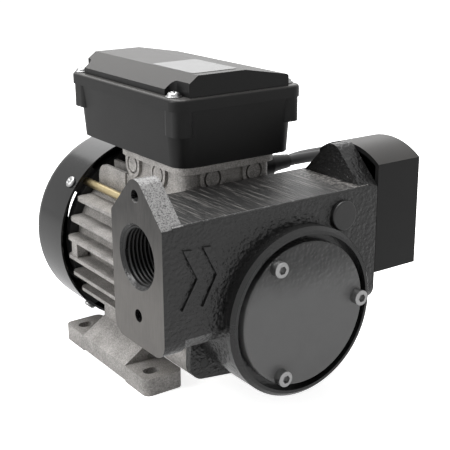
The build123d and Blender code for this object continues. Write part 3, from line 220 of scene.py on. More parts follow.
# %% Values in a material
class Value:
    """A socket of a material's node tree that Python's operators work on."""

    def __init__(self, finish, socket):
        self.finish = finish
        self.socket = socket

    def maths(self, operation, *others):
        node = self.finish.add("ShaderNodeMath", operation=operation)
        for slot_input, value in zip(node.inputs, (self, *others)):
            self.finish.wire(slot_input, value)
        return Value(self.finish, node.outputs[0])

    def __add__(self, other):
        return self.maths("ADD", other)

    def __sub__(self, other):
        return self.maths("SUBTRACT", other)

    def __rsub__(self, other):
        return (self * -1.0).maths("ADD", other)

    def __mul__(self, other):
        return self.maths("MULTIPLY", other)

    def __gt__(self, other):
        return self.maths("GREATER_THAN", other)

    def __lt__(self, other):
        return self.maths("LESS_THAN", other)

    def __abs__(self):
        return self.maths("ABSOLUTE")

    __radd__ = __add__
    __rmul__ = __mul__

    def ramp(self, low, high):
        """0 below low, 1 above high, smooth between; falls instead where low is above high."""
        node = self.finish.add("ShaderNodeMapRange", interpolation_type="SMOOTHSTEP")
        self.finish.wire(node.inputs["Value"], self)
        first, last = (low, high) if low < high else (high, low)
        node.inputs["From Min"].default_value = first
        node.inputs["From Max"].default_value = last
        node.inputs["To Min"].default_value = 0.0 if low < high else 1.0
        node.inputs["To Max"].default_value = 1.0 if low < high else 0.0
        return Value(self.finish, node.outputs["Result"])

    def mix(self, low, high):
        """The colour low where this value is 0 and high where it is 1."""
        node = self.finish.add("ShaderNodeMix", data_type="RGBA")
        self.finish.wire(node.inputs[0], self)
        self.finish.wire(node.inputs[6], low)
        self.finish.wire(node.inputs[7], high)
        return Value(self.finish, node.outputs[2])


# %% [markdown]
# ## One finish
#
# `Finish` makes one material. It knows the place on the object and the way the surface
# faces, so that a finish can differ between a top face and a wall. `add` makes any
# node, `wire` joins a value to an input, `noise` and `cells` give patterns with a size
# in metres, `bump` adds height, and `paint` sets the Principled shader.

# %% One finish
class Finish:
    """One material, made of a Principled shader and the nodes that feed it."""

    def __init__(self, name):
        self.material = bpy.data.materials.new(name)
        self.material.use_nodes = True
        self.tree = self.material.node_tree
        self.shader = self.tree.nodes["Principled BSDF"]
        coordinates = self.add("ShaderNodeTexCoord")
        geometry = self.add("ShaderNodeNewGeometry")
        self.place = Value(self, coordinates.outputs["Object"])
        self.x, self.y, self.z = self.split(self.place)
        self.nx, self.ny, self.nz = self.split(Value(self, geometry.outputs["Normal"]))

    def add(self, kind, **settings):
        node = self.tree.nodes.new(kind)
        for name, setting in settings.items():
            setattr(node, name, setting)
        return node

    def wire(self, target, value):
        if isinstance(value, Value):
            self.tree.links.new(value.socket, target)
        elif isinstance(value, tuple) and len(value) == 3 and target.type == "RGBA":
            target.default_value = (*value, 1.0)
        else:
            target.default_value = value

    def split(self, vector):
        node = self.add("ShaderNodeSeparateXYZ")
        self.wire(node.inputs[0], vector)
        return [Value(self, output) for output in node.outputs]

    def stretched(self, x, y, z):
        """The place in the object with each axis scaled, for streaks and scratches."""
        node = self.add("ShaderNodeVectorMath", operation="MULTIPLY")
        self.wire(node.inputs[0], self.place)
        node.inputs[1].default_value = (x, y, z)
        return Value(self, node.outputs[0])

    def diagonal(self, across, along):
        """The place turned 38 degrees about Z and stretched, for slanting scratches."""
        node = self.add("ShaderNodeMapping")
        self.wire(node.inputs["Vector"], self.place)
        node.inputs["Rotation"].default_value = (0.0, 0.0, radians(38.0))
        node.inputs["Scale"].default_value = (across, along, along)
        return Value(self, node.outputs[0])

    def noise(self, size, detail=2.0, rough=0.5, place=None):
        """Soft noise from 0 to 1 with patches about size metres across."""
        node = self.add("ShaderNodeTexNoise")
        self.wire(node.inputs["Vector"], place or self.place)
        node.inputs["Scale"].default_value = 1.0 / size
        node.inputs["Detail"].default_value = detail
        node.inputs["Roughness"].default_value = rough
        return Value(self, node.outputs["Fac"])

    def cells(self, size):
        """Soft hollows round points scattered about size metres apart."""
        node = self.add("ShaderNodeTexVoronoi", feature="SMOOTH_F1")
        self.wire(node.inputs["Vector"], self.place)
        node.inputs["Scale"].default_value = 1.0 / size
        return Value(self, node.outputs["Distance"])

    def bump(self, height, depth, strength=1.0):
        """Bumps of the given depth in metres; more calls lie on top of each other."""
        node = self.add("ShaderNodeBump")
        node.inputs["Strength"].default_value = strength
        node.inputs["Distance"].default_value = depth
        self.wire(node.inputs["Height"], height)
        normal = self.shader.inputs["Normal"]
        if normal.is_linked:
            self.tree.links.new(normal.links[0].from_socket, node.inputs["Normal"])
        self.tree.links.new(node.outputs["Normal"], normal)

    def paint(self, color, roughness, metallic=0.0, **others):
        self.wire(self.shader.inputs["Base Color"], color)
        self.wire(self.shader.inputs["Roughness"], roughness)
        self.wire(self.shader.inputs["Metallic"], metallic)
        for name, value in others.items():
            self.wire(self.shader.inputs[name.replace("_", " ")], value)
        return self


# %% [markdown]
# ## Gray levels
#
# Nearly all colours of this pump are grays. A gray is easiest to judge as a level of 0
# to 255 on a screen, but a shader wants the amount of light, so `gray` converts it.
# Iron and aluminium are a little warm: more red than blue.

# %% Gray levels
screen_white = 255
screen_gamma = 2.2


def gray(level, warmth=0.0):
    """A gray from a screen level of 0 to 255, with more red than blue when warm."""
    linear = (level / screen_white) ** screen_gamma
    return (linear * (1 + warmth), linear, linear * (1 - warmth))


# %% [markdown]
# ## Places on the casting
#
# The pump's casting is painted black over its rough sand surface, but its two flange
# faces and its top are machined. It is one solid, so the finish has to tell these
# places apart. It does so by their position and by the way they face. Separate
# materials on picked faces would do it too, but they would be lost with each new mesh.

# %% Places on the casting
inlet_face_x = -81.0 * mm
outlet_face_x = 56.4 * mm
top_face_low, top_face_high = 118.3 * mm, 118.9 * mm
port_axis_y, port_axis_z = -82.5 * mm, 97.8 * mm
port_edge_radius = 16 * mm
face_slack = 0.06 * mm
facing = 0.9

iron = Finish("iron_paint")
inlet_face = (abs(iron.x - inlet_face_x) < face_slack) * (iron.nx < -facing)
outlet_face = (abs(iron.x - outlet_face_x) < face_slack) * (iron.nx > facing)
machined = inlet_face + outlet_face
top_face = (iron.z > top_face_low) * (iron.z < top_face_high) * (iron.nz > facing)
sloped_edge = iron.nz.ramp(0.3, 0.6) * (iron.x < -68.8 * mm) * (iron.z > 114 * mm)
from_axis_y, from_axis_z = iron.y - port_axis_y, iron.z - port_axis_z
axis_distance = from_axis_y * from_axis_y + from_axis_z * from_axis_z
in_port = axis_distance < port_edge_radius**2
smooth_place = (machined + top_face + in_port + sloped_edge * 0.6).ramp(0.0, 1.0)
rough_place = (1.0 - smooth_place) * (0.3 + (iron.y > -110 * mm) * 0.7)
print("telling the places apart takes", len(iron.tree.nodes), "nodes")

# %% [markdown]
# ### Paint and wear of the casting
#
# The paint follows the sand mould's grain: broad lumps, small dents and a fine grain,
# three bump layers of falling size. The machined faces show the mill's lines and grow
# lighter towards the bottom, a painted reflection of the white floor. The top has
# slanting scratches and, towards the outlet flange, a light speckled patch that is a
# painted reflection of glints. The sloped edge of the inlet flange has light speckles
# where the paint is thin. One noise alone would look like stone, so each mark has its own.

# %% Paint and wear of the casting
cast_lumps = iron.noise(2.8 * mm, 2.0, 0.5)
cast_dents = iron.cells(1.7 * mm)
cast_grain = iron.noise(0.6 * mm, 2.0, 0.6)
dust = iron.noise(0.8 * mm, 3.0, 0.7)
mill_lines = iron.noise(1.0, 2.0, 0.5, iron.stretched(40.0, 1200.0, 120.0))
top_streaks = iron.noise(1.0, 3.0, 0.65, iron.diagonal(1100.0, 45.0))
# The light speckled patch on the top towards the outlet flange is a painted reflection of the
# lamps' glints on the rough top.
glint_speckles = iron.noise(1.6 * mm, 3.0, 0.65).ramp(0.46, 0.6)
painted_glint_patch = iron.x.ramp(24 * mm, 44 * mm) * glint_speckles
worn = iron.noise(14 * mm, 4.0, 0.6)
painted_color = (dust * sloped_edge).ramp(0.25, 0.6).mix(gray(34), gray(138, 0.01))
streaks_and_painted_glints = top_streaks.ramp(0.52, 0.7) * 0.5 + painted_glint_patch * 0.8
ground_color = streaks_and_painted_glints.mix(gray(10, 0.08), gray(128, 0.05))
face_wear = (worn * 0.5 + mill_lines * 0.5).ramp(0.3, 0.7)
# The machined faces grow lighter towards the bottom: three quarters of the level is painted
# reflection of the white floor, one quarter is wear and mill lines.
wear_and_painted_floor_reflection = iron.z.ramp(128 * mm, 70 * mm) * 0.75 + face_wear * 0.25
face_color = wear_and_painted_floor_reflection.mix(gray(40, 0.04), gray(92, 0.06))
iron_color = machined.mix(top_face.mix(painted_color, ground_color), face_color)
iron.bump(cast_lumps * rough_place, 0.6 * mm, 0.9)
iron.bump(cast_dents * rough_place, 0.5 * mm, 0.9)
iron.bump(cast_grain * rough_place, 0.14 * mm, 0.9)
iron.bump(top_streaks * top_face, 0.5 * mm, 0.9)
iron_rough = 0.22 + machined * 0.25 + top_face * 0.22 + cast_grain * 0.06
iron.paint(iron_color, iron_rough, metallic=machined * 0.4, Specular_IOR_Level=0.42)
print("the casting's finish has", len(iron.tree.nodes), "nodes")

# %% [markdown]
# ### Paint of the plug and the cover
#
# The by-pass plug is turned, so its paint lies smooth. The round cover is painted
# thickly: an orange peel shows in its upper half, and its lower half is a lighter
# gray. The level therefore rises with falling height, with some wear in it.

# %% Paint of the plug and the cover
smooth_iron = Finish("smooth_iron_paint")
smooth_iron.bump(smooth_iron.noise(2.2 * mm, 2.0), 0.18 * mm, 0.6)
smooth_iron.paint(gray(38), 0.3, Specular_IOR_Level=0.45)

cover_paint = Finish("cover_paint")
peel = cover_paint.cells(2.1 * mm)
peel_zone = (cover_paint.z + cover_paint.x * 0.25).ramp(64 * mm, 84 * mm)
cover_paint.bump(peel * peel_zone, 0.9 * mm, 0.8)
cover_paint.bump(cover_paint.noise(1.1 * mm, 3.0), 0.06 * mm, 0.5)
cover_wear = cover_paint.noise(11 * mm, 3.0, 0.55)
cover_low = cover_paint.z.ramp(92 * mm, 66 * mm)
cover_level = (cover_wear * 0.35 + cover_low * 0.65).ramp(0.1, 0.9)
cover_color = cover_level.mix(gray(50), gray(92))
cover_paint.paint(cover_color, 0.3 + cover_wear * 0.1, Specular_IOR_Level=0.4)
print("the cover's finish has", len(cover_paint.tree.nodes), "nodes")

# %% [markdown]
# ### Raw aluminium of the motor
#
# The motor's frame and front shield are cast aluminium without paint. It is dull, with
# a sandy grain and faint blotches. As a full metal it would mirror the room, so it is
# only partly metallic, and its roughness changes with the grain.

# %% Raw aluminium of the motor
aluminium = Finish("cast_aluminium")
sand = aluminium.noise(0.8 * mm, 3.0, 0.7)
blotches = aluminium.noise(11 * mm, 4.0, 0.6)
aluminium_tone = (sand * 0.65 + blotches * 0.35).ramp(0.3, 0.7)
aluminium.bump(sand, 0.4 * mm, 0.9)
aluminium.bump(aluminium.noise(3.5 * mm, 3.0), 0.2 * mm, 0.5)
aluminium_color = aluminium_tone.mix(gray(92, 0.045), gray(160, 0.045))
aluminium.paint(aluminium_color, 0.42 + sand * 0.16, metallic=0.35)
print("the aluminium's finish has", len(aluminium.tree.nodes), "nodes")

# %% [markdown]
# ### Black sheet and shield
#
# The fan cover is pressed from sheet and sprayed glossy black. A very soft bump, about
# a centimetre wide, lets its reflections waver as on real sheet. The rear shield in
# front of it has the same black in a dull and grainy form.

# %% Black sheet and shield
gloss_black = Finish("black_sheet_steel")
gloss_black.bump(gloss_black.noise(9 * mm, 2.0), 0.1 * mm, 0.35)
gloss_wear = gloss_black.noise(5 * mm, 5.0, 0.7).ramp(0.55, 0.8)
gloss_color = gloss_wear.mix(gray(14), gray(24))
gloss_black.paint(gloss_color, 0.18 + gloss_wear * 0.14, Specular_IOR_Level=0.38)

shield_paint = Finish("shield_paint")
shield_grain = shield_paint.noise(1.4 * mm, 3.0)
shield_paint.bump(shield_grain, 0.2 * mm, 0.5)
shield_paint.paint(shield_grain.mix(gray(34), gray(50)), 0.45, Specular_IOR_Level=0.3)
print("the fan cover's finish has", len(gloss_black.tree.nodes), "nodes")

# %% [markdown]
# ### Black plastic
#
# The terminal box, its lid and the outlet cover are moulded with a fine grain. The colour
# is lighter where the surface faces up: partly dust, partly painted light that stands in
# for the overhead lamp's sheen on the tops. A lighter plastic all over would lose the
# black of the walls.

# %% Black plastic
plastic = Finish("black_plastic")
plastic_grain = plastic.noise(0.35 * mm, 2.0, 0.5)
plastic_haze = plastic.noise(22 * mm, 3.0, 0.55)
plastic.bump(plastic_grain, 0.05 * mm, 0.5)
# Lighter where the surface faces up: partly dust, partly painted light for the overhead lamp's
# sheen.
dust_and_painted_top_light = plastic.nz.ramp(0.3, 0.9) * (0.6 + plastic_haze * 0.4)
plastic_color = dust_and_painted_top_light.mix(gray(18), gray(60, 0.04))
plastic.paint(plastic_color, 0.38 + plastic_haze * 0.1, Specular_IOR_Level=0.24)
print("the plastic's finish has", len(plastic.tree.nodes), "nodes")

# %% [markdown]
# ### Screws and rods
#
# The screws are bright zinc and the four rods yellow zinc. Plating is a true metal, so
# both are fully metallic, with a cloudy tone that a plain metal lacks. The rods' front
# ends went through the spray with the casting, so they turn black there.

# %% Screws and rods
zinc = Finish("bright_zinc")
zinc_cloud = zinc.noise(1.6 * mm, 3.0, 0.6)
zinc.bump(zinc.noise(0.4 * mm, 2.0), 0.03 * mm, 0.5)
zinc.paint(zinc_cloud.mix(gray(132), gray(172)), 0.28 + zinc_cloud * 0.14, metallic=1.0)

yellow_zinc = Finish("yellow_zinc")
yellow_cloud = yellow_zinc.noise(2.4 * mm, 3.0, 0.6)
yellow_zinc.bump(yellow_zinc.noise(0.5 * mm, 2.0), 0.03 * mm, 0.5)
rod_color = yellow_cloud.mix((0.36, 0.28, 0.13), (0.55, 0.47, 0.30))
painted_end = yellow_zinc.y < -76 * mm
rod_rough = 0.3 + yellow_cloud * 0.15
yellow_zinc.paint(painted_end.mix(rod_color, gray(30)), rod_rough, metallic=1.0 - painted_end)
print("the rods' finish has", len(yellow_zinc.tree.nodes), "nodes")

# %% [markdown]
# ### Metals inside
#
# Shaft, rotor and bearings are turned steel with fine lines round the axis. The cores
# are stacks of thin sheets, which show as lines across it, and the winding is varnished
# copper wire. Each is one noise that is stretched along the lines.

# %% Metals inside
steel = Finish("shaft_steel")
turned = steel.noise(1.0, 2.0, 0.5, steel.stretched(80.0, 2500.0, 80.0))
steel.bump(turned, 0.02 * mm, 0.5)
steel.paint(turned.mix(gray(150), gray(185)), 0.28 + turned * 0.12, metallic=1.0)

lamination = Finish("lamination_steel")
layers = lamination.noise(1.0, 1.0, 0.5, lamination.stretched(20.0, 2000.0, 20.0))
lamination.bump(layers, 0.05 * mm, 0.8)
lamination.paint(layers.mix(gray(88), gray(120)), 0.5, metallic=0.8)

copper = Finish("copper_winding")
strands = copper.noise(1.0, 1.0, 0.5, copper.stretched(900.0, 900.0, 900.0))
copper.bump(strands, 0.2 * mm, 0.8)
copper.paint(strands.mix((0.20, 0.07, 0.025), (0.42, 0.17, 0.06)), 0.36, metallic=0.6)
print("three finishes for the metals inside")

# %% [markdown]
# ### Rubber, thread, plate and pale plastic
#
# The last four are small: the rubber of cord and seals, the bare cut iron of the
# port's thread, darkened to a painted shade of the deep bore, the foil of the lid's
# plate, and the pale plastic of the terminal block and the capacitor. A faint change
# of tone keeps each from looking flat.

# %% Rubber, thread, plate and pale plastic
rubber = Finish("black_rubber")
rubber_grain = rubber.noise(0.5 * mm, 2.0)
rubber.bump(rubber_grain, 0.04 * mm, 0.5)
rubber.paint(rubber_grain.mix(gray(26), gray(34)), 0.5 + rubber_grain * 0.1)

thread_iron = Finish("thread_iron")
thread_scratch = thread_iron.noise(0.8 * mm, 3.0, 0.6)
# The thread's dark colour is painted shade of the deep bore.
thread_painted_shade = thread_scratch.mix(gray(22), gray(48))
thread_iron.paint(thread_painted_shade, 0.34 + thread_scratch * 0.1, Specular_IOR_Level=0.3)

plate_finish = Finish("plate_foil")
plate_cloud = plate_finish.noise(12 * mm, 3.0)
plate_color = plate_cloud.mix(gray(118), gray(134))
plate_finish.paint(plate_color, 0.5 + plate_cloud * 0.1, Specular_IOR_Level=0.2)

pale_plastic = Finish("pale_plastic")
pale_tone = pale_plastic.noise(6 * mm, 3.0)
pale_plastic.bump(pale_plastic.noise(0.5 * mm), 0.03 * mm, 0.4)
pale_plastic.paint(pale_tone.mix(gray(196, 0.02), gray(214, 0.02)), 0.4 + pale_tone * 0.1)
print("four finishes for the small pieces")

# %% [markdown]
# ## Finishes on their pieces
#
# One table says which solid wears which finish, so that a change needs one line. The
# cord's curve isn't a solid of the model, so it gets its rubber by itself.

# %% Finishes on their pieces
finishes = {
    iron: ["pump_body"],
    smooth_iron: ["bypass_plug"],
    cover_paint: ["front_cover"],
    steel: ["pump_rotor", "bypass_poppet", "motor_shaft", "front_bearing", "rear_bearing"],
    aluminium: ["motor_frame", "front_shield"],
    gloss_black: ["fan_cover"],
    shield_paint: ["rear_shield"],
    plastic: [
        "terminal_box", "terminal_lid", "outlet_cover", "cable_gland", "gland_nut", "fan", "vanes"
    ],
    zinc: ["cover_screws", "lid_screws", "box_screws", "bypass_spring", "fan_cover_screws"],
    yellow_zinc: ["tie_rods", "rod_nuts"],
    lamination: ["rotor_core", "stator_core"],
    copper: ["stator_winding"],
    rubber: ["cover_o_ring", "shaft_seal", "lid_gasket", "power_cord", "cord_coil", "plug"],
    pale_plastic: ["terminal_block", "capacitor"],
}
for finish, names in finishes.items():
    for name in names:
        for material_slot in node(name).material_slots:
            material_slot.material = finish.material
power_cord.data.materials.append(rubber.material)
print(len(finishes), "finishes on", sum(len(names) for names in finishes.values()), "solids")

# %% [markdown]
# ## Mesh helpers
#
# A few pieces are too small or too fine for the solids and are made here as meshes.
# `piece` turns points and faces into an object that rides on a body. `prism` gives the
# points and faces of a flat outline raised along one direction, and `smooth_step` a
# soft step from 0 to 1. The points are worked out, because an edit by hand of a mesh
# couldn't be run again.

# %% Mesh helpers
def piece(name, points, faces, finish, smooth=True, body="housing"):
    data = bpy.data.meshes.new(name)
    data.from_pydata([tuple(point) for point in points], [], faces)
    mesh = bmesh.new()
    mesh.from_mesh(data)
    bmesh.ops.recalc_face_normals(mesh, faces=mesh.faces)
    mesh.to_mesh(data)
    mesh.free()
    data.polygons.foreach_set("use_smooth", [smooth] * len(data.polygons))
    data.materials.append(finish.material)
    made = bpy.data.objects.new(name, data)
    bpy.context.scene.collection.objects.link(made)
    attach(made, body)
    print(name, "has", len(data.polygons), "faces")
    return made


def prism(outline, lift, inset=0.0):
    """An outline of 3-D points raised by lift, its top drawn towards the middle by inset."""
    middle = sum(outline, Vector()) / len(outline)
    top = [point + lift + (middle - point).normalized() * inset for point in outline]
    count = len(outline)
    sides = [(i, (i + 1) % count, count + (i + 1) % count, count + i) for i in range(count)]
    caps = [tuple(reversed(range(count))), tuple(range(count, 2 * count))]
    return list(outline) + top, sides + caps


def smooth_step(value, low, high):
    part = min(1.0, max(0.0, (value - low) / (high - low)))
    return part * part * (3 - 2 * part)


# %% [markdown]
# ## Screw heads
#
# The lid and the fan cover have pan-head screws with a cross recess. Each head is a
# round grid of points: its height falls off at the rim, and the cross is pressed in.
# A cut of two bars into a dome would give the cross as well, but with hard edges and
# long thin faces, where the grid bends softly as a stamped head does.

# %% Screw heads
head_rings = 16
head_sides = 64
recess_share = 0.38
dome_drop = 0.86
turn_between_heads = 0.7


def cross_depth(across, along, radius):
    """How far the cross recess is pressed in, from 0 to 1."""
    depth = 0.0
    for first, second in ((across, along), (along, across)):
        width = 1 - smooth_step(abs(first), 0.10 * radius, 0.19 * radius)
        reach = 1 - smooth_step(abs(second), 0.46 * radius, 0.62 * radius)
        depth = max(depth, width * reach)
    return depth


def pan_heads(name, seats, radius, height, shank_radius, shank_length, flange=0.0, turn=0.0):
    """Cross-recess screws at seats, each a pair of the seat and its outward direction."""
    points, faces = [], []
    for number, (seat, outward) in enumerate(seats):
        frame_turn = outward.to_track_quat("Z", "Y").to_matrix()
        first = len(points)
        profile = [(radius * ring / head_rings, None) for ring in range(1, head_rings + 1)]
        if flange:
            profile += [(radius, 0.3 * height), (flange, 0.22 * height), (flange, 0.0)]
        else:
            profile += [(radius, 0.0)]
        profile += [(shank_radius, 0.0), (shank_radius, -shank_length)]
        points.append(seat + frame_turn @ Vector((0, 0, height * (1 - recess_share))))
        for distance, level in profile:
            for side in range(head_sides):
                angle = 2 * pi * side / head_sides
                across, along = distance * cos(angle), distance * sin(angle)
                up = level
                if level is None:
                    dome = sqrt(max(0.0, 1 - dome_drop * (distance / radius) ** 5))
                    spin = turn + number * turn_between_heads
                    turned_across = across * cos(spin) + along * sin(spin)
                    turned_along = along * cos(spin) - across * sin(spin)
                    recess = cross_depth(turned_across, turned_along, radius)
                    up = height * (dome - recess_share * recess)
                points.append(seat + frame_turn @ Vector((across, along, up)))
        for side in range(head_sides):
            beside = (side + 1) % head_sides
            faces.append((first, first + 1 + side, first + 1 + beside))
            for ring in range(len(profile) - 1):
                low = first + 1 + ring * head_sides
                high = low + head_sides
                faces.append((low + side, high + side, high + beside, low + beside))
        last = first + 1 + (len(profile) - 1) * head_sides
        faces.append(tuple(range(last, last + head_sides)))
    return piece(name, points, faces, zinc)


# %% [markdown]
# ### Screws of the lid and the fan cover
#
# The lid has a flanged screw in each corner, and four screws go radially through the
# fan cover's front rim, each a little beside a rod. The heads take the place of the
# plain ones in the solids, so they stand on the same seats.

# %% Screws of the lid and the fan cover
lid_rim_z = 167.2 * mm
lid_screw_seats = [
    (Vector((x * mm, y * mm, lid_rim_z)), Vector((0, 0, 1)))
    for x in (-35.5, 39.1)
    for y in (-47.1, 57.6)
]
lid_heads = pan_heads(
    "lid_screw_heads",
    lid_screw_seats,
    radius=3.6 * mm,
    height=2.6 * mm,
    shank_radius=1.8 * mm,
    shank_length=18 * mm,
    flange=4.4 * mm,
    turn=0.3,
)
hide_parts("lid_screws")

cowl_radius = 60.5 * mm
cowl_screw_center = Vector((0, 54.5 * mm, 63 * mm))
rod_angles = (43.6, 136.4, 223.6, 316.4)
beside_rod = 6.0
cowl_screw_seats = []
for rod_angle in rod_angles:
    screw_angle = radians(rod_angle + beside_rod)
    outward = Vector((cos(screw_angle), 0, sin(screw_angle)))
    cowl_screw_seats.append((cowl_screw_center + outward * cowl_radius, outward))
cowl_heads = pan_heads(
    "cowl_screw_heads",
    cowl_screw_seats,
    radius=3.7 * mm,
    height=2.2 * mm,
    shank_radius=1.9 * mm,
    shank_length=6 * mm,
)
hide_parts("fan_cover_screws")

# %% [markdown]
# ## Arrowheads on the casting
#
# Two arrowheads stand out of the front wall and show the way the fuel flows. They are
# cast with it, so they wear its paint, and their sides slope a little as cast marks do.
# Each is an outline of five corners that is raised from just inside the wall.

# %% Arrowheads on the casting
wall_y = -107.0 * mm
arrow_foot = 0.2 * mm
arrow_height = 1.3 * mm
arrow_draft = 0.5 * mm
arrow_outlines = [
    [(-70.1, 106.3), (-64.9, 105.6), (-56.7, 90.4), (-71.1, 74.7), (-61.7, 89.6)],
    [(-58.6, 105.9), (-53.3, 105.4), (-44.8, 89.6), (-59.1, 74.4), (-50.3, 89.6)],
]
for number, outline in enumerate(arrow_outlines):
    corners = [Vector((x * mm, wall_y + arrow_foot, z * mm)) for x, z in outline]
    arrow_points, arrow_faces = prism(corners, Vector((0, -arrow_height, 0)), arrow_draft)
    piece(f"arrow_{number + 1}", arrow_points, arrow_faces, iron, smooth=False)

# %% [markdown]
# ## Thread in the inlet port
#
# The inlet port has a one-inch pipe thread. The solid has a plain bore, and the thread
# is one ridge that winds into it: a profile of four corners that goes round the axis
# and moves on by the pitch with each turn. Rings side by side would look alike from
# afar, but the mouth of the port would show that nothing starts there.

# %% Thread in the inlet port
thread_pitch = 2.309 * mm
thread_turns = 7.6
thread_steps = 60
thread_start_x = -78.9 * mm
thread_root, thread_crest = 15.3 * mm, 14.35 * mm
thread_profile = (
    (thread_root, -0.48), (thread_crest, -0.08), (thread_crest, 0.08), (thread_root, 0.48)
)
thread_points, thread_faces = [], []
for step in range(int(thread_turns * thread_steps) + 1):
    angle = 2 * pi * step / thread_steps
    start = thread_start_x + thread_pitch * step / thread_steps
    for radius, shift in thread_profile:
        y = port_axis_y + radius * cos(angle)
        z = port_axis_z + radius * sin(angle)
        thread_points.append((start + shift * thread_pitch, y, z))
    if step:
        for corner in range(4):
            here, there = 4 * step + corner, 4 * step + (corner + 1) % 4
            thread_faces.append((here - 4, there - 4, there, here))
thread_faces.append((0, 1, 2, 3))
thread_faces.append(tuple(len(thread_points) - 4 + corner for corner in range(4)))
piece("inlet_thread", thread_points, thread_faces, thread_iron)

# %% [markdown]
# ## Plate on the lid
#
# A thin bare plate is glued to the flat top of the lid. It is an outline with rounded
# corners, raised by its thickness. A colour in the lid's own finish would be simpler,
# but the plate's edge and its different shine show that it is a piece by itself.

# %% Plate on the lid
plate_left, plate_right, plate_front, plate_back = -25 * mm, 4 * mm, -50 * mm, -8 * mm
plate_corner = 2 * mm
corner_steps = 5
plate_foot_z = 178.75 * mm
plate_thickness = 0.3 * mm
plate_outline = []
for x, y, start in (
    (plate_right - plate_corner, plate_back - plate_corner, 0),
    (plate_left + plate_corner, plate_back - plate_corner, 90),
    (plate_left + plate_corner, plate_front + plate_corner, 180),
    (plate_right - plate_corner, plate_front + plate_corner, 270),
):
    for part in range(corner_steps):
        angle = radians(start + part * 90 / (corner_steps - 1))
        round_x, round_y = x + plate_corner * cos(angle), y + plate_corner * sin(angle)
        plate_outline.append(Vector((round_x, round_y, plate_foot_z)))
plate_points, plate_faces = prism(plate_outline, Vector((0, 0, plate_thickness)))
piece("lid_plate", plate_points, plate_faces, plate_finish, smooth=False)

# %% [markdown]
# ## Floor
#
# The pump stands on a large flat floor, which takes its shadow. The floor belongs to
# the stage and not to the pump.

# %% Floor
floor_reach = 3.0
floor_data = bpy.data.meshes.new("floor")
floor_signs = ((-1, -1), (1, -1), (1, 1), (-1, 1))
floor_corners = [(x * floor_reach, y * floor_reach, 0) for x, y in floor_signs]
floor_data.from_pydata(floor_corners, [], [(0, 1, 2, 3)])
floor = bpy.data.objects.new("floor", floor_data)
bpy.context.scene.collection.objects.link(floor)
print("the floor reaches", floor_reach, "m each way")

# %% [markdown]
# ## White background
#
# The background is white to the camera, and to mirrors and glass, but it lights the
# pump only weakly. If it lit the pump as brightly as it looks, it would wash out the
# blacks. The Light Path node tells the two kinds of ray apart.

# %% White background
world = bpy.data.worlds.new("studio")
world.use_nodes = True
bpy.context.scene.world = world
world_nodes = world.node_tree.nodes
world_links = world.node_tree.links
backdrop = world_nodes["Background"]
backdrop.inputs["Color"].default_value = (1.0, 1.0, 1.0, 1.0)
backdrop.inputs["Strength"].default_value = 0.3
seen_backdrop = world_nodes.new("ShaderNodeBackground")
seen_backdrop.inputs["Color"].default_value = (1.0, 1.0, 1.0, 1.0)
seen_backdrop.inputs["Strength"].default_value = 1.0


def seen_rays(tree):
    """1 for the rays that should meet white: from the camera, a mirror or glass."""
    rays = tree.nodes.new("ShaderNodeLightPath")
    total = rays.outputs["Is Camera Ray"]
    for name in ("Is Glossy Ray", "Is Transmission Ray"):
        larger = tree.nodes.new("ShaderNodeMath")
        larger.operation = "MAXIMUM"
        tree.links.new(total, larger.inputs[0])
        tree.links.new(rays.outputs[name], larger.inputs[1])
        total = larger.outputs[0]
    return total


choose = world_nodes.new("ShaderNodeMixShader")
world_links.new(seen_rays(world.node_tree), choose.inputs[0])
world_links.new(backdrop.outputs[0], choose.inputs[1])
world_links.new(seen_backdrop.outputs[0], choose.inputs[2])
world_links.new(choose.outputs[0], world_nodes["World Output"].inputs["Surface"])
print("the backdrop lights with a strength of", backdrop.inputs["Strength"].default_value)

# %% [markdown]
# ## Finish of the floor
#
# The floor is a plain white. To the camera it also glows a little, so that it is as
# white as the background and only the shadow stays darker. In a mirror the glow alone
# is enough: with the lamps' light on top the floor would look brighter than white.

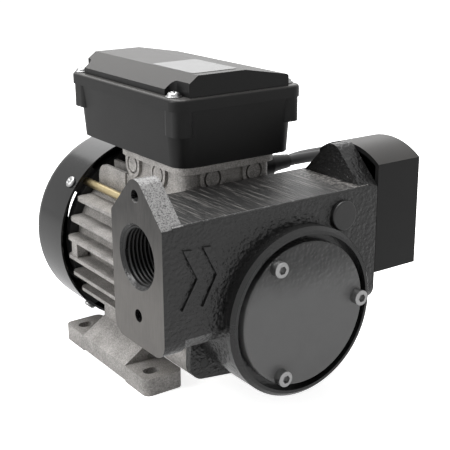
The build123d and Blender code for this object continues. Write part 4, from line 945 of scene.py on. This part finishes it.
# %% Finish of the floor
floor_finish = Finish("white_floor")
floor_finish.paint((0.9, 0.9, 0.9), 0.8, Specular_IOR_Level=0.0)
seen_floor = floor_finish.add("ShaderNodeBsdfPrincipled")
floor_settings = {"Roughness": 0.8, "Specular IOR Level": 0.0, "Emission Strength": 0.82}
for name, setting in floor_settings.items():
    seen_floor.inputs[name].default_value = setting
floor_rays = floor_finish.add("ShaderNodeLightPath")
camera_ray = Value(floor_finish, floor_rays.outputs["Is Camera Ray"])
floor_color = camera_ray.mix((0.15, 0.15, 0.15), (0.9, 0.9, 0.9))
floor_finish.wire(seen_floor.inputs["Base Color"], floor_color)
seen_floor.inputs["Emission Color"].default_value = (1.0, 1.0, 1.0, 1.0)
floor_blend = floor_finish.add("ShaderNodeMixShader")
floor_output = floor_finish.tree.nodes["Material Output"]
floor_finish.tree.links.new(seen_rays(floor_finish.tree), floor_blend.inputs[0])
floor_finish.tree.links.new(floor_finish.shader.outputs[0], floor_blend.inputs[1])
floor_finish.tree.links.new(seen_floor.outputs[0], floor_blend.inputs[2])
floor_finish.tree.links.new(floor_blend.outputs[0], floor_output.inputs["Surface"])
floor_data.materials.append(floor_finish.material)
print("the floor's finish has", len(floor_finish.tree.nodes), "nodes")


# %% [markdown]
# ## Lamps
#
# Three soft lamps stand round the pump: one hangs above it and grays the tops, a tall
# one on the left draws the fan cover and the fins, and a broad one behind puts a rim
# of light on the edges. Area lamps are used, because a small lamp would leave hard
# dots on the glossy paint.

# %% Lamps
def softbox(name, place, target, width, height, power):
    light_data = bpy.data.lights.new(name, "AREA")
    light_data.shape = "RECTANGLE"
    light_data.size = width
    light_data.size_y = height
    light_data.energy = power
    light = bpy.data.objects.new(name, light_data)
    light.location = place
    light.rotation_euler = (Vector(place) - Vector(target)).to_track_quat("Z", "Y").to_euler()
    bpy.context.scene.collection.objects.link(light)
    print(name, "gives", power, "W")


aim = (0.0, 0.0, 0.07)
softbox("overhead", (-0.1, 0.15, 1.0), aim, 0.8, 0.8, 17.0)
softbox("left_window", (-0.9, 0.25, 0.55), aim, 0.4, 0.7, 7.0)
softbox("back_panel", (0.55, 1.2, 0.9), aim, 1.6, 0.9, 7.5)
